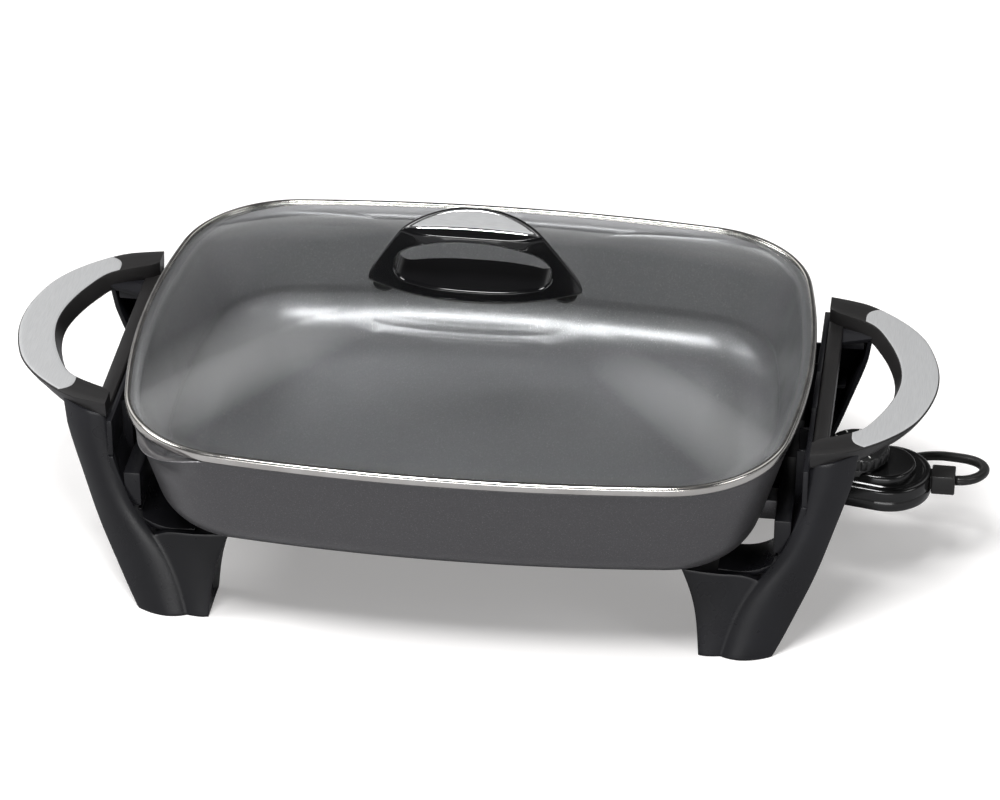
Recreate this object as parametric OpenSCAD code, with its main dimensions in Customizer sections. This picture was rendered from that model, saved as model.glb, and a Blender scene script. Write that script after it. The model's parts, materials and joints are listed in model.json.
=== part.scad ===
// Electric griddle: deep covered electric skillet of the 16 inch class.
// Millimetres, +Z up. The origin is under the middle of the pan, at the table.
// +X points to the heat control, -Y to the side the cook stands at.

/* [Pan] */
// Half length of the pan at its rim
rim_a = 201.5; // [195:0.5:206]
// Half width of the pan at its rim
rim_b = 155.5; // [150:0.5:158]
// Corner radius of the rim
rim_r = 73; // [60:1:78]
// How far the long sides bow outwards
bow_long = 8; // [4:0.5:10]
// How far the short sides bow outwards
bow_short = 8; // [4:0.5:10]
// Height of the rim above the table
rim_z = 139; // [136:0.5:140]
// Height of the underside of the pan above the table
under_z = 64; // [63:0.5:65]
// Slope of the walls from upright
draft = 16.5; // [14:0.5:18]
// Thickness of the cast floor
floor_t = 6; // [5:0.5:7]
// How far the pouring spout stands out at the rim
spout_out = 11.5; // [6:0.5:13]

/* [Lid] */
// Half length of the steel band round the lid
band_a = 203; // [202:0.5:207]
// Half width of the steel band
band_b = 157; // [156:0.5:160]
// Height of the flat middle of the glass
glass_z = 179.5; // [176:0.5:181]
// Thickness of the glass
glass_t = 4; // [3:0.5:5]
// Half length of the knob's foot
knob_a = 65; // [62:0.5:67]
// Half width of the knob's foot
knob_b = 20; // [18:0.5:22]
// How far the lid lifts off
lid_travel = 150; // [120:5:150]

/* [Legs and handles] */
// Lean of each leg's front towards the pan
lean = 7.9; // [7:0.1:9]
// Depth of a leg from front to back
leg_depth = 34; // [30:1:36]
// Wall of the leg moulding
leg_wall = 3; // [2.5:0.5:3.5]
// Height of a handle's upper face
handle_z = 136; // [134:0.5:137]
// Thickness of a handle
handle_t = 11.6; // [10:0.2:12]

/* [Heat control] */
// Radius of the round end of the case
case_r = 26.3; // [25:0.1:27]
// Radius of the dial
dial_r = 19; // [16:0.5:20]
// Radius of the temperature probe
probe_r = 3.2; // [3:0.1:3.4]
// Radius of a terminal pin
pin_r = 2.4; // [2:0.1:2.5]
// Half of the distance between the terminal pins
pin_y = 11.5; // [11:0.1:12]
// Diameter of the cord
cord_d = 6; // [5:0.1:6]

/* [Hidden] */
$fn = 48;

black = [0.05, 0.05, 0.055];
dark = [0.16, 0.16, 0.17];
charcoal = [0.24, 0.235, 0.235];
steel = [0.78, 0.76, 0.72];

axis_z = 63;        // probe axis
pins_z = 65;        // terminal pin axis
parting_z = 65;     // where the two halves of the control case meet
case_lo = 57.6;     // underside of the control case
case_hi = 72.6;     // flat top of the control case
dial_x = 231;       // dial axis
round_x = 249.5;    // centre of the case's round end
nose_x = 203;       // inner end of the case
member_z0 = 66;     // cross-member
member_z1 = 89;
screw_z = 73;       // axis of the leg base screws
lug_y = 48;
foot_tip = handle_z - handle_t;

// A leg from the front: outer edge going up, then the inner edge coming down
leg_out = [[190, 0], [196.5, 13], [204, 31], [212.5, 51], [219.5, 72], [225, 91], [230, 106], [233, 120], [235, 137]];
leg_in = [[207, 137], [206, 120], [204.5, 106], [201.5, 92], [198, 80], [193, 66], [188, 59.5], [181, 55], [172, 52.5],
          [156, 53], [135, 54], [137, 50], [140.5, 41], [144, 28], [146, 10], [147, 0]];
// Half of a handle in plan: outer edge and inner edge
grip_out = [[207, 89], [218, 86.5], [229, 83], [239, 76.8], [250, 67.5], [259.5, 57], [267, 45], [272.5, 30], [276, 14]];
grip_in = [[207, 75.5], [211, 71.5], [220, 67], [229, 62], [236, 56], [244.5, 40], [250, 25], [253, 12]];
// Front of the knob: half of its arch and half of its finger opening
arch = [[0, 230], [15, 229.6], [28, 228], [37, 225.8], [43, 222.5], [48, 216.5], [53, 209.5], [58, 199.5], [62, 190.5], [66, 180]];
opening = [[0, 217.5], [20, 216.4], [33, 213], [42, 207.2], [46.5, 200], [46, 193], [42, 189], [30, 188]];
// Cord from the strain relief, round behind the control and down to the table, then behind the leg to the coil
lead_route = [[290, 0, 67], [296, 1, 67], [302, 5, 66.5], [306, 11, 66], [307, 18, 65], [304, 25, 64], [298, 30, 63],
              [290, 33, 62], [280, 36, 60.5], [268, 39, 57], [257, 42, 51], [247, 48, 42], [238, 56, 31], [231, 66, 19],
              [226, 77, 9], [222, 89, 4], [217, 101, 3], [209, 112, 3], [198, 121, 3], [184, 127, 3], [168, 130, 3],
              [150, 131.5, 3], [130, 132, 3.5], [112, 132, 4], [95, 132, 4]];
tail_route = [[95, 132, 16], [84, 132, 16], [72, 132, 14.5], [60, 132.5, 12], [50, 134, 10], [42, 135, 9]];
coil_c = [95, 165];
coil_r = 33;
coil_z0 = 1;
coil_z1 = 19;
plug_x = 42;
plug_at = [42, 135, 9];

function flip_y(p) = [for (i = [len(p) - 1:-1:0]) [p[i][0], -p[i][1]]];

// Rounded rectangle whose long and short sides bow outwards: three tangent arcs in each quarter
function bow_x(i, A, B, R1, R2, s, x, y) = i == 0 ? [x, y] :
    let (y2 = B - R1 + sqrt(max(R1 * R1 - x * x, 0)), x2 = A - R2 + sqrt(max(R2 * R2 - y2 * y2, 0)))
    bow_x(i - 1, A, B, R1, R2, s, x2, y2);
function quarter(a, b, r, s1, s2, n) =
    let (A = a - r, B = b - r, R1 = (A * A + s1 * s1) / (2 * s1), R2 = (B * B + s2 * s2) / (2 * s2),
         c = bow_x(30, A, B, R1, R2, 0, A - s2, B - s1),
         t1 = atan2(c[1], c[0] - (A - R2)), t2 = atan2(c[1] - (B - R1), c[0]))
    concat(
        [for (i = [0:n - 1]) let (t = t1 * i / n) [A - R2 + (R2 + r) * cos(t), (R2 + r) * sin(t)]],
        [for (i = [0:2 * n - 1]) let (t = t1 + (t2 - t1) * i / (2 * n)) [c[0] + r * cos(t), c[1] + r * sin(t)]],
        [for (i = [0:n]) let (t = t2 + (90 - t2) * i / n) [(R1 + r) * cos(t), B - R1 + (R1 + r) * sin(t)]]);
function outline(a, b, r, s1, s2, n = 5) =
    let (q = quarter(a, b, r, s1, s2, n), m = len(q))
    concat(q, [for (i = [m - 2:-1:0]) [-q[i][0], q[i][1]]], [for (i = [1:m - 1]) [-q[i][0], -q[i][1]]],
           [for (i = [m - 2:-1:1]) [q[i][0], -q[i][1]]]);

// The pan's plan at an inset from its rim, with the spout pushed out by d
spout_c = [-(rim_a - rim_r), -(rim_b - rim_r)];
function pan_plan(inset, d) =
    [for (p = outline(rim_a - inset, rim_b - inset, max(rim_r - inset, 8), bow_long, bow_short))
        let (v = p - spout_c, g = atan2(-v[1], -v[0]) - 57,
             k = (p[0] < 0 && p[1] < 0 && abs(g) < 30) ? pow(cos(g * 3), 2) : 0)
        p + d * k * v / max(norm(v), 1)];
function up(ring, z) = [for (p = ring) [p[0], p[1], z]];

// Closed skin over a stack of rings with the same number of points, capped at both ends
module skin(rings) {
    n = len(rings[0]);
    m = len(rings);
    polyhedron(
        points = [for (r = rings) for (p = r) p],
        faces = concat(
            [[for (i = [0:n - 1]) i]],
            [for (j = [0:m - 2]) for (i = [0:n - 1]) each
                let (a = j * n + i, b = j * n + (i + 1) % n, c = a + n, d = b + n) [[a, d, b], [a, c, d]]],
            [[for (i = [n - 1:-1:0]) (m - 1) * n + i]]),
        convexity = 6);
}
// Ring of one closed section carried round an outline: sections are a list of rings
module hoop(rings) {
    n = len(rings[0]);
    m = len(rings);
    polyhedron(
        points = [for (r = rings) for (p = r) p],
        faces = [for (j = [0:m - 1]) for (i = [0:n - 1]) each
            let (k = (j + 1) % m, a = j * n + i, b = j * n + (i + 1) % n, c = k * n + i, d = k * n + (i + 1) % n)
            [[a, b, d], [a, d, c]]],
        convexity = 6);
}

function unit(v) = v / norm(v);
function tangents(P) = [for (i = [0:len(P) - 1]) unit(P[min(i + 1, len(P) - 1)] - P[max(i - 1, 0)])];
function side0(t) = let (u = abs(t[2]) < 0.8 ? [0, 0, 1] : [1, 0, 0]) unit(cross(t, u));
function sides(T, i = 0, acc = []) = i == len(T) ? acc :
    let (q = i == 0 ? side0(T[0]) : acc[i - 1], v = q - (q * T[i]) * T[i]) sides(T, i + 1, concat(acc, [unit(v)]));
// Smooth tube along a route
module tube(P, r, n = 10) {
    T = tangents(P);
    S = sides(T);
    skin([for (i = [0:len(P) - 1]) let (w = cross(T[i], S[i]))
        [for (k = [0:n - 1]) P[i] + r * (cos(360 * k / n) * S[i] + sin(360 * k / n) * w)]]);
}

// ---- pan ----
// How far the outer wall lies inside the rim at height z: sloping wall, then a corner arc to the flat underside
corner_r = 30;
arc_z = under_z + corner_r * (1 - sin(draft));
arc_in = (rim_z - arc_z) * tan(draft);
outer_arc = [for (k = [0:5]) let (t = -draft - (90 - draft) * k / 5)
    [arc_in + corner_r * (cos(draft) - cos(t)), under_z + corner_r * (1 + sin(t))]];
inner_r = 26;
in_arc = [for (k = [5:-1:0]) let (t = -draft - (90 - draft) * k / 5)
    [arc_in + corner_r * cos(draft) - inner_r * cos(t), under_z + floor_t + inner_r * (1 + sin(t))]];
spout_rows = [[0, 1], [2.2, 0.86], [6, 0.62], [11, 0.33], [17, 0.1], [24, 0]];

module pan_shell() {
    rows = concat(
        [for (s = spout_rows) up(pan_plan(s[0] * tan(draft), spout_out * s[1]), rim_z - s[0])],
        [for (p = outer_arc) up(pan_plan(p[0], 0), p[1])]);
    skin([for (i = [len(rows) - 1:-1:0]) rows[i]]);
}
module pan_hollow() {
    rings = concat(
        [for (p = in_arc) up(pan_plan(p[0], 0), p[1])],
        [for (i = [len(spout_rows) - 1:-1:2]) let (s = spout_rows[i])
            up(pan_plan(5 + s[0] * tan(draft), spout_out * s[1]), rim_z - s[0])],
        [up(pan_plan(8.5, spout_out * 0.86), rim_z - 3), up(pan_plan(6, spout_out * 0.97), rim_z - 0.8),
         up(pan_plan(4.6, spout_out), rim_z + 1)]);
    skin(rings);
}
module pan_body() {
    color(charcoal) difference() {
        union() {
            difference() { pan_shell(); pan_hollow(); }
            // boss that holds the temperature probe
            translate([112, -8, 56]) cube([66, 16, 12]);
            // lugs that the leg bases are screwed to
            for (s = [-1, 1], t = [-1, 1])
                translate([s * 181.8 - 5.9, t * lug_y - 7, 66]) cube([11.8, 14, 14]);
        }
        translate([116, 0, axis_z]) rotate([0, 90, 0]) cylinder(h = 70, r = probe_r + 0.05);
        for (s = [-1, 1], t = [-1, 1])
            translate([s * 188, t * lug_y, screw_z]) rotate([0, -90 * s, 0]) cylinder(h = 10, r = 2.05);
    }
}
function half_loop() = concat(
    [[176, pin_y, pins_z], [168, pin_y, 62.6], [160, 13, 60], [148, 19, 60], [136, 32, 60], [122, 47, 60], [106, 57, 60], [90, 60, 60],
     [40, 60, 60], [-20, 60, 60], [-70, 60, 60]],
    [for (t = [15:15:75]) [-70 - 60 * sin(t), 60 * cos(t), 60]]);
module heating_element() {
    h = half_loop();
    color([0.35, 0.34, 0.33])
        tube(concat(h, [[-130, 0, 60]], [for (i = [len(h) - 1:-1:0]) [h[i][0], -h[i][1], h[i][2]]]), 4, 12);
}
module terminal_pins() {
    color(steel) for (t = [-1, 1]) translate([176, t * pin_y, pins_z]) rotate([0, 90, 0]) {
        cylinder(h = 47, r = pin_r);
        translate([0, 0, 47]) cylinder(h = 1.5, r1 = pin_r, r2 = 1.2);
    }
}
module terminal_insulators() {
    color([0.9, 0.88, 0.82]) for (t = [-1, 1]) translate([178.2, t * pin_y, pins_z]) rotate([0, 90, 0]) difference() {
        union() { cylinder(h = 8, r = 4); cylinder(h = 2.6, r = 5.2); }
        translate([0, 0, -1]) cylinder(h = 12, r = pin_r + 0.02);
    }
}
module terminal_guard() {
    color(black) difference() {
        union() {
            translate([181, -20, 54.5]) cube([21.6, 40, 21]);
            for (t = [-1, 1]) translate([184, t * 27 - 7.5, 67]) cube([4, 15, 12]);
        }
        translate([184.4, -17.5, 57]) cube([25, 35, 16]);
        for (t = [-1, 1]) {
            translate([170, t * pin_y, pins_z]) rotate([0, 90, 0]) cylinder(h = 20, r = 4.02);
            translate([180, t * 27, 72]) rotate([0, 90, 0]) cylinder(h = 20, r = 1.52);
        }
        translate([170, 0, axis_z]) rotate([0, 90, 0]) cylinder(h = 20, r = 4);
    }
}
module cross_screw(len_, r, head) {
    // head outwards along +X, shank towards -X
    rotate([0, -90, 0]) cylinder(h = len_, r = r);
    rotate([0, 90, 0]) difference() {
        cylinder(h = 2.6, r1 = head, r2 = head * 0.75);
        translate([-head, -0.5, 1.6]) cube([2 * head, 1, 2]);
    }
}
module guard_screws() {
    color(steel) for (t = [-1, 1]) translate([198, t * 27, 72]) cross_screw(14, 1.5, 3.2);
}
// ---- legs ----
module leg_slab(depth, w, top) {
    rotate([90, 0, 0]) translate([0, 0, -depth]) linear_extrude(height = depth)
        intersection() {
            offset(delta = -w) polygon(concat(leg_out, leg_in));
            translate([100, -5]) square([160, top + 5]);
        }
}
// One leg at front right: a leaning shell, open at its back, closed by a plate at the top
module leg() {
    intersection() {
        translate([0, -107, 0]) rotate([-lean, 0, 0]) difference() {
            leg_slab(leg_depth, 0, 150);
            translate([0, leg_wall, 0]) leg_slab(leg_depth, leg_wall, 119);
        }
        translate([100, -150, 0]) cube([160, 120, foot_tip]);
    }
    // ribs
    intersection() {
        translate([0, -107, 0]) rotate([-lean, 0, 0]) {
            translate([0, leg_wall - 0.5, 0]) leg_slab(leg_depth - leg_wall - 4, leg_wall - 0.4, 119);
        }
        union() {
            translate([100, -150, 32]) cube([160, 120, 2.4]);
            translate([100, -150, 84]) cube([160, 120, 2.4]);
        }
    }
}
shelf = [[203.4, 100], [201.5, 92], [198, 80], [193, 66], [188, 59.5], [181, 55], [172, 52.5], [156, 53],
         [156, 50], [172.2, 49.5], [182.2, 52], [190.2, 57], [196, 64.2], [201.2, 79], [204.8, 91], [206.6, 100]];
module leg_base(open_for_terminals) {
    difference() {
        union() {
            for (t = [0, 1]) mirror([0, t, 0]) leg();
            translate([188, -92, member_z0]) cube([10, 184, member_z1 - member_z0]);
            // apron between the legs, under the straight bar of the handle
            translate([203.4, -92, open_for_terminals ? member_z0 : 96]) cube([3.2, 184, foot_tip - (open_for_terminals ? member_z0 : 96)]);
            // curved shelf that carries on the sweep of the legs' inner edge
            difference() {
                rotate([90, 0, 0]) translate([0, 0, -92]) linear_extrude(height = 184) polygon(shelf);
                if (open_for_terminals) translate([150, -62, 40]) cube([60, 124, 61]);
            }
            // gussets that tie the cross-member to the legs
            for (t = [-1, 1]) translate([188, t * 80 - 8, 62]) cube([22, 16, 3]);
        }
        if (open_for_terminals)
            translate([180, -20.1, 50]) cube([30, 40.2, 26.1]);
        for (t = [-1, 1]) {
            translate([180, t * lug_y, screw_z]) rotate([0, 90, 0]) cylinder(h = 30, r = 2.05);
            translate([198, t * lug_y, screw_z]) rotate([0, 90, 0]) cylinder(h = 12, r = 4.6);
            translate([223, t * 79, 100]) cylinder(h = 40, r = 2.05);
            if (open_for_terminals)
                translate([180, t * 27, 72]) rotate([0, 90, 0]) cylinder(h = 30, r = 1.55);
        }
    }
}
module left_leg_base() { color(dark) mirror([1, 0, 0]) leg_base(false); }
module right_leg_base() { color(dark) leg_base(true); }
module base_screws() {
    color(steel) for (s = [0, 1], t = [-1, 1]) mirror([s, 0, 0]) translate([198, t * lug_y, screw_z]) cross_screw(19.4, 2, 4);
}
// ---- handles ----
module grip_plan() {
    polygon(concat(grip_out, [[277, 0]], flip_y(grip_out), grip_in == [] ? [] : [for (p = grip_in) [p[0], -p[1]]], [[254, 0]],
                   [for (i = [len(grip_in) - 1:-1:0]) grip_in[i]]));
}
module trim_plan(gap) {
    intersection() {
        offset(delta = -0.7 - gap) grip_plan();
        translate([237 + gap, -90]) square([60, 180]);
    }
}
module handle() {
    difference() {
        union() {
            translate([0, 0, foot_tip]) linear_extrude(height = handle_t) grip_plan();
            translate([207, -77, 116]) cube([9, 154, 11]);
        }
        translate([0, 0, handle_z - 0.8]) linear_extrude(height = 3) trim_plan(0);
        for (t = [-1, 1]) translate([223, t * 79, 110]) cylinder(h = 22.5, r = 2.05);
        // room for the leg tips under the straight bar
        for (t = [-1, 1]) translate([200, t * 84 - 29.5, 100]) cube([40, 59, foot_tip - 100]);
    }
}
module left_handle() { color(black) mirror([1, 0, 0]) handle(); }
module right_handle() { color(black) handle(); }
module trim() { translate([0, 0, handle_z - 0.8]) linear_extrude(height = 1) trim_plan(0.1); }
module left_handle_trim() { color([0.8, 0.81, 0.82]) mirror([1, 0, 0]) trim(); }
module right_handle_trim() { color([0.8, 0.81, 0.82]) trim(); }
module handle_screws() {
    color(steel) for (s = [-1, 1], t = [-1, 1]) translate([s * 223, t * 79, 0]) {
        translate([0, 0, 114]) cylinder(h = 18, r = 2);
        translate([0, 0, 111.4]) difference() {
            cylinder(h = 2.8, r = 3.8);
            translate([-4, -0.5, -0.1]) cube([8, 1, 1.1]);
        }
    }
}
// ---- lid ----
flat_k = 0.33;
rim_k = 0.975;
function dome(k) = let (t = max(rim_k - k, 0) / (rim_k - flat_k)) k <= flat_k ? glass_z : 144.2 + (glass_z - 144.2) * (1 - pow(1 - t, 1.6));
function glass_plan(k) = outline((band_a - 0.9) * k, (band_b - 0.9) * k, 73.6 * k, 8.1 * k, 8.2 * k);
ks = [1, 0.975, 0.95, 0.9, 0.82, 0.72, 0.6, 0.46, 0.33];
module lid_glass() {
    color([0.75, 0.8, 0.8, 0.35]) difference() {
        skin(concat([for (i = [len(ks) - 1:-1:0]) up(glass_plan(ks[i]), dome(ks[i]) - glass_t)],
                    [for (i = [0:len(ks) - 1]) up(glass_plan(ks[i]), dome(ks[i]))]));
        for (s = [-1, 1]) translate([s * 54, 0, 170]) cylinder(h = 20, r = 3.2);
    }
}
// Section of the band: outer wall, top lip and bottom lip round the edge of the glass, as [inset, z]
band_sec = [[0.5, 139.3], [3.5, 139.3], [3.5, 140.1], [0.8, 140.1], [0.8, 144.3], [3.4, 144.3], [3.2, 145], [1.3, 145], [0, 144], [0, 139.8]];
module lid_rim_band() {
    color(steel) hoop([for (s = band_sec) up(outline(band_a - s[0], band_b - s[0], 74 - s[0], 8.1, 8.2), s[1])]);
}
lens_r = (knob_a * knob_a + knob_b * knob_b) / (2 * knob_b);
module lens(g) {
    intersection_for (t = [-1, 1]) translate([0, t * (lens_r - knob_b)]) circle(r = lens_r - g, $fn = 180);
}
module knob_gasket() {
    color([0.1, 0.1, 0.1]) translate([0, 0, glass_z]) difference() {
        linear_extrude(height = 1) lens(0.6);
        for (s = [-1, 1]) translate([s * 54, 0, -1]) cylinder(h = 4, r = 2.1);
    }
}
badge_r = 52.7;
badge_y = -46.1;
module knob_side() {
    // front, sloping badge face and back of the knob, as [y, z]
    polygon([[-knob_b, glass_z + 1], [-knob_b, glass_z + 6], [-17.4, 217], [-16.2, 221.8], [7, 229.5], [11.5, 226.5], [13.5, 219], [knob_b, glass_z + 6], [knob_b, glass_z + 1]]);
}
module knob_solid() {
    intersection() {
        translate([0, 40, 0]) rotate([90, 0, 0]) linear_extrude(height = 80) difference() {
            polygon(concat(arch, [for (i = [len(arch) - 1:-1:1]) [-arch[i][0], arch[i][1]]]));
            polygon(concat(opening, [for (i = [len(opening) - 1:-1:1]) [-opening[i][0], opening[i][1]]]));
        }
        translate([-80, 0, 0]) rotate([90, 0, 90]) linear_extrude(height = 160) knob_side();
        translate([0, 0, glass_z + 1]) linear_extrude(height = 60) lens(0);
        // shoulders fall away round the badge
        translate([0, 0, 227.18]) rotate([badge_tilt, 0, 0]) translate([0, badge_y, -60]) cylinder(h = 68, r1 = badge_r + 28.5, r2 = badge_r - 2.1, $fn = 180);
    }
}
// Sloping plate on top of the knob, in its own plane
badge_tilt = atan2(6.3, 19);
module badge_plan(g) {
    intersection() {
        translate([0, badge_y]) circle(r = badge_r - g, $fn = 180);
        translate([-60, -13 + g]) square([120, 40]);
    }
}
module badge_at(z0, h, g) {
    translate([0, 0, 227.18]) rotate([badge_tilt, 0, 0]) translate([0, 0, z0]) linear_extrude(height = h) badge_plan(g);
}
module lid_knob() {
    color(black) difference() {
        knob_solid();
        badge_at(-0.6, 5, 0);
        for (s = [-1, 1]) translate([s * 54, 0, 170]) cylinder(h = 24, r = 2.05);
    }
}
module knob_badge() {
    color([0.8, 0.8, 0.82]) intersection() {
        badge_at(-0.6, 0.9, 0.1);
        translate([-47, -20, 200]) cube([94, 40, 40]);
    }
}
module knob_screws() {
    color(steel) for (s = [-1, 1]) translate([s * 54, 0, 0]) {
        translate([0, 0, glass_z - glass_t - 1.2]) cylinder(h = 18, r = 2);
        translate([0, 0, glass_z - glass_t - 3.8]) difference() {
            cylinder(h = 2.8, r1 = 3.2, r2 = 4);
            translate([-5, -0.5, -0.1]) cube([10, 1, 1.1]);
        }
    }
}
module knob_washers() {
    color(steel) for (s = [-1, 1]) translate([s * 54, 0, glass_z - glass_t - 1]) difference() {
        cylinder(h = 1, r = 7);
        translate([0, 0, -1]) cylinder(h = 3, r = 2.05);
    }
}
// ---- heat control ----
module case_plan(g) {
    translate([round_x, 0]) circle(r = case_r - g, $fn = 96);
    polygon([[nose_x + g, -18 + g], [nose_x + g, 18 - g], [243, case_r - 0.8 - g], [252, case_r - g - 0.2], [252, -case_r + g + 0.2], [243, -case_r + 0.8 + g]]);
}
module case_bores() {
    translate([190, 0, axis_z]) rotate([0, 90, 0]) cylinder(h = 18, r = probe_r + 0.1);
    for (t = [-1, 1]) translate([190, t * pin_y, pins_z]) rotate([0, 90, 0]) cylinder(h = 18, r = 3);
    translate([268, -5, 62.5]) cube([12, 10, 9]);
}
post_at = [[257, 17], [257, -17]];
module control_case_lower() {
    color(black) difference() {
        union() {
            difference() {
                translate([0, 0, case_lo]) linear_extrude(height = parting_z - case_lo) case_plan(0);
                translate([0, 0, case_lo + 2]) linear_extrude(height = 20) case_plan(2.2);
            }
            for (p = post_at) translate([p[0], p[1], case_lo + 1]) cylinder(h = parting_z - case_lo - 1, r = 3.6);
        }
        case_bores();
        for (p = post_at) translate([p[0], p[1], case_lo - 1]) { cylinder(h = 20, r = 1.55); cylinder(h = 3.2, r = 3); }
    }
}
module control_case_upper() {
    color(black) difference() {
        union() {
            translate([0, 0, parting_z]) linear_extrude(height = case_hi - parting_z) case_plan(0);
            translate([dial_x, 0, case_hi - 0.1]) cylinder(h = 7.7, r = 15.5);
            translate([round_x - 2, 0, case_hi - 0.1]) cylinder(h = 6.6, r1 = 20, r2 = 14);
        }
        difference() {
            union() {
                translate([0, 0, parting_z - 1]) linear_extrude(height = case_hi - 2.2 - parting_z + 1) case_plan(2.2);
                translate([round_x - 2, 0, case_hi - 3]) cylinder(h = 7.4, r1 = 18, r2 = 12);
            }
            for (p = post_at) translate([p[0], p[1], parting_z - 2]) cylinder(h = 20, r = 3.6);
            translate([dial_x, 0, parting_z + 4.5]) cylinder(h = 20, r = 5.5);
        }
        case_bores();
        for (p = post_at) translate([p[0], p[1], parting_z - 1]) cylinder(h = 6.5, r = 1.4);
        translate([dial_x, 0, 50]) cylinder(h = 60, r = 3.05);
        // small blind hole in the hump
        translate([252, 4, case_hi + 5.2]) cylinder(h = 5, r = 0.9);
    }
}
module control_screws() {
    color(steel) for (p = post_at) translate([p[0], p[1], 0]) {
        translate([0, 0, case_lo + 1.5]) cylinder(h = 10, r = 1.35);
        translate([0, 0, case_lo + 0.3]) difference() {
            cylinder(h = 1.9, r = 2.8);
            translate([-4, -0.4, -0.1]) cube([8, 0.8, 0.9]);
        }
    }
}
module temperature_probe() {
    color(steel) translate([120, 0, axis_z]) rotate([0, 90, 0]) {
        cylinder(h = 93, r = probe_r);
        intersection() { sphere(r = probe_r, $fn = 32); translate([-5, -5, -5]) cube([10, 10, 5]); }
        translate([0, 0, 85.5]) difference() { cylinder(h = 1.6, r = 4.6); translate([-3.41 - 5, -6, -1]) cube([5, 12, 4]); translate([3.35, -6, -1]) cube([5, 12, 4]); }
    }
}
module contact_sleeves() {
    color([0.75, 0.62, 0.35]) for (t = [-1, 1]) translate([206, t * pin_y, pins_z]) rotate([0, 90, 0]) difference() {
        union() { cylinder(h = 21, r = 3.6); translate([-1.2, t * 2 - 0.4, 20]) cube([2.4, 0.8, 8]); }
        translate([0, 0, -1]) cylinder(h = 20.6, r = pin_r + 0.05);
    }
}
module thermostat_base() {
    color([0.85, 0.83, 0.76]) difference() {
        translate([214, -5, 59.7]) cube([8, 10, 9]);
        translate([213, -4, 59]) cube([2, 8, 8]);
    }
}
module thermostat_blades() {
    color([0.8, 0.55, 0.3]) {
        translate([222, -2.5, 62]) cube([20, 5, 0.5]);
        translate([222, -2.5, 65.4]) cube([20, 5, 0.5]);
    }
}
module thermostat_contacts() {
    color([0.85, 0.85, 0.85]) {
        translate([240, 0, 62.5]) cylinder(h = 1.3, r = 1.6);
        translate([240, 0, 64]) cylinder(h = 1.4, r = 1.6);
    }
}
module control_wiring() {
    color([0.9, 0.9, 0.85]) {
        tube([[269.5, -2, 66], [262, -4, 66], [252, -8, 65.5], [242, -12, 65], [235, -13.6, 65]], 1.1, 8);
        tube([[269.5, 2, 66], [264, 3, 65], [256, 3, 63], [249, 2, 61.6], [243, 0.5, 61]], 1, 8);
        tube([[234, 13.6, 65], [240, 13, 66], [246, 9, 67.2], [246, 4, 67.6], [243, 1, 67]], 1, 8);
    }
}
module strain_relief() {
    color(black) difference() {
        union() {
            translate([275.9, -7, 60.6]) cube([14.1, 14, 12.6]);
            translate([270, -4.9, 62.6]) cube([6, 9.8, 8.8]);
        }
        for (t = [-1, 1]) translate([278 + 0, t * 7.4, 60]) cube([8, 1.2, 14]);
    }
}
// ---- cord ----
module cord_lead() { color(black) tube(lead_route, cord_d / 2, 10); }
module cord_tail() { color(black) tube(tail_route, cord_d / 2, 10); }
module cord_coil() {
    color(black) translate([coil_c[0], coil_c[1], coil_z0]) rotate_extrude($fn = 72)
        translate([coil_r - cord_d / 2, 0]) square([cord_d, coil_z1 - coil_z0]);
}
module cord_tie() {
    color([0.1, 0.1, 0.1]) translate([coil_c[0], coil_c[1] + coil_r, 0]) difference() {
        translate([-5, -4.3, 0]) cube([10, 8.6, coil_z1 + 1]);
        translate([-6, -3.3, 1]) cube([12, 6.6, coil_z1 - 1]);
    }
}
module plug_body() {
    color(black) translate(plug_at) rotate([0, -90, 0]) {
        cylinder(h = 15, r1 = 4, r2 = 6.2);
        translate([-8.8, -12, 14]) cube([17.6, 24, 20]);
    }
}
module plug_blades() {
    color([0.85, 0.75, 0.45]) for (t = [-1, 1]) translate([plug_at[0] - 34 - 16.5, plug_at[1] + t * 6.35 - 0.75, plug_at[2] - 3.15]) cube([16.5, 1.5, 6.3]);
}
// ---- dial ----
module temperature_dial() {
    color(dark) difference() {
        union() {
            translate([dial_x, 0, 80.6]) cylinder(h = 5.8, r = dial_r, $fn = 96);
            translate([dial_x, 0, 86.4]) cylinder(h = 1.6, r1 = dial_r - 0.4, r2 = dial_r - 2, $fn = 96);
        }
        for (k = [0:23]) translate([dial_x + (dial_r + 0.5) * cos(15 * k), (dial_r + 0.5) * sin(15 * k), 80]) cylinder(h = 10, r = 1.2, $fn = 16);
        translate([dial_x, 0, 79]) cylinder(h = 6, r = 3.02);
    }
}
module dial_shaft() {
    color(steel) {
        translate([dial_x, 0, 68]) cylinder(h = 17, r = 3);
        translate([dial_x, 0, 66.4]) cylinder(h = 2, r = 4.4);
    }
}

pan_body();
heating_element();
terminal_pins();
terminal_insulators();
terminal_guard();
guard_screws();
left_leg_base();
right_leg_base();
base_screws();
left_handle();
right_handle();
left_handle_trim();
right_handle_trim();
handle_screws();
lid_glass();
lid_rim_band();
knob_gasket();
lid_knob();
knob_badge();
knob_screws();
knob_washers();
control_case_lower();
control_case_upper();
control_screws();
temperature_probe();
contact_sleeves();
thermostat_base();
thermostat_blades();
thermostat_contacts();
control_wiring();
strain_relief();
cord_lead();
cord_coil();
cord_tail();
cord_tie();
plug_body();
plug_blades();
temperature_dial();
dial_shaft();
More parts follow.
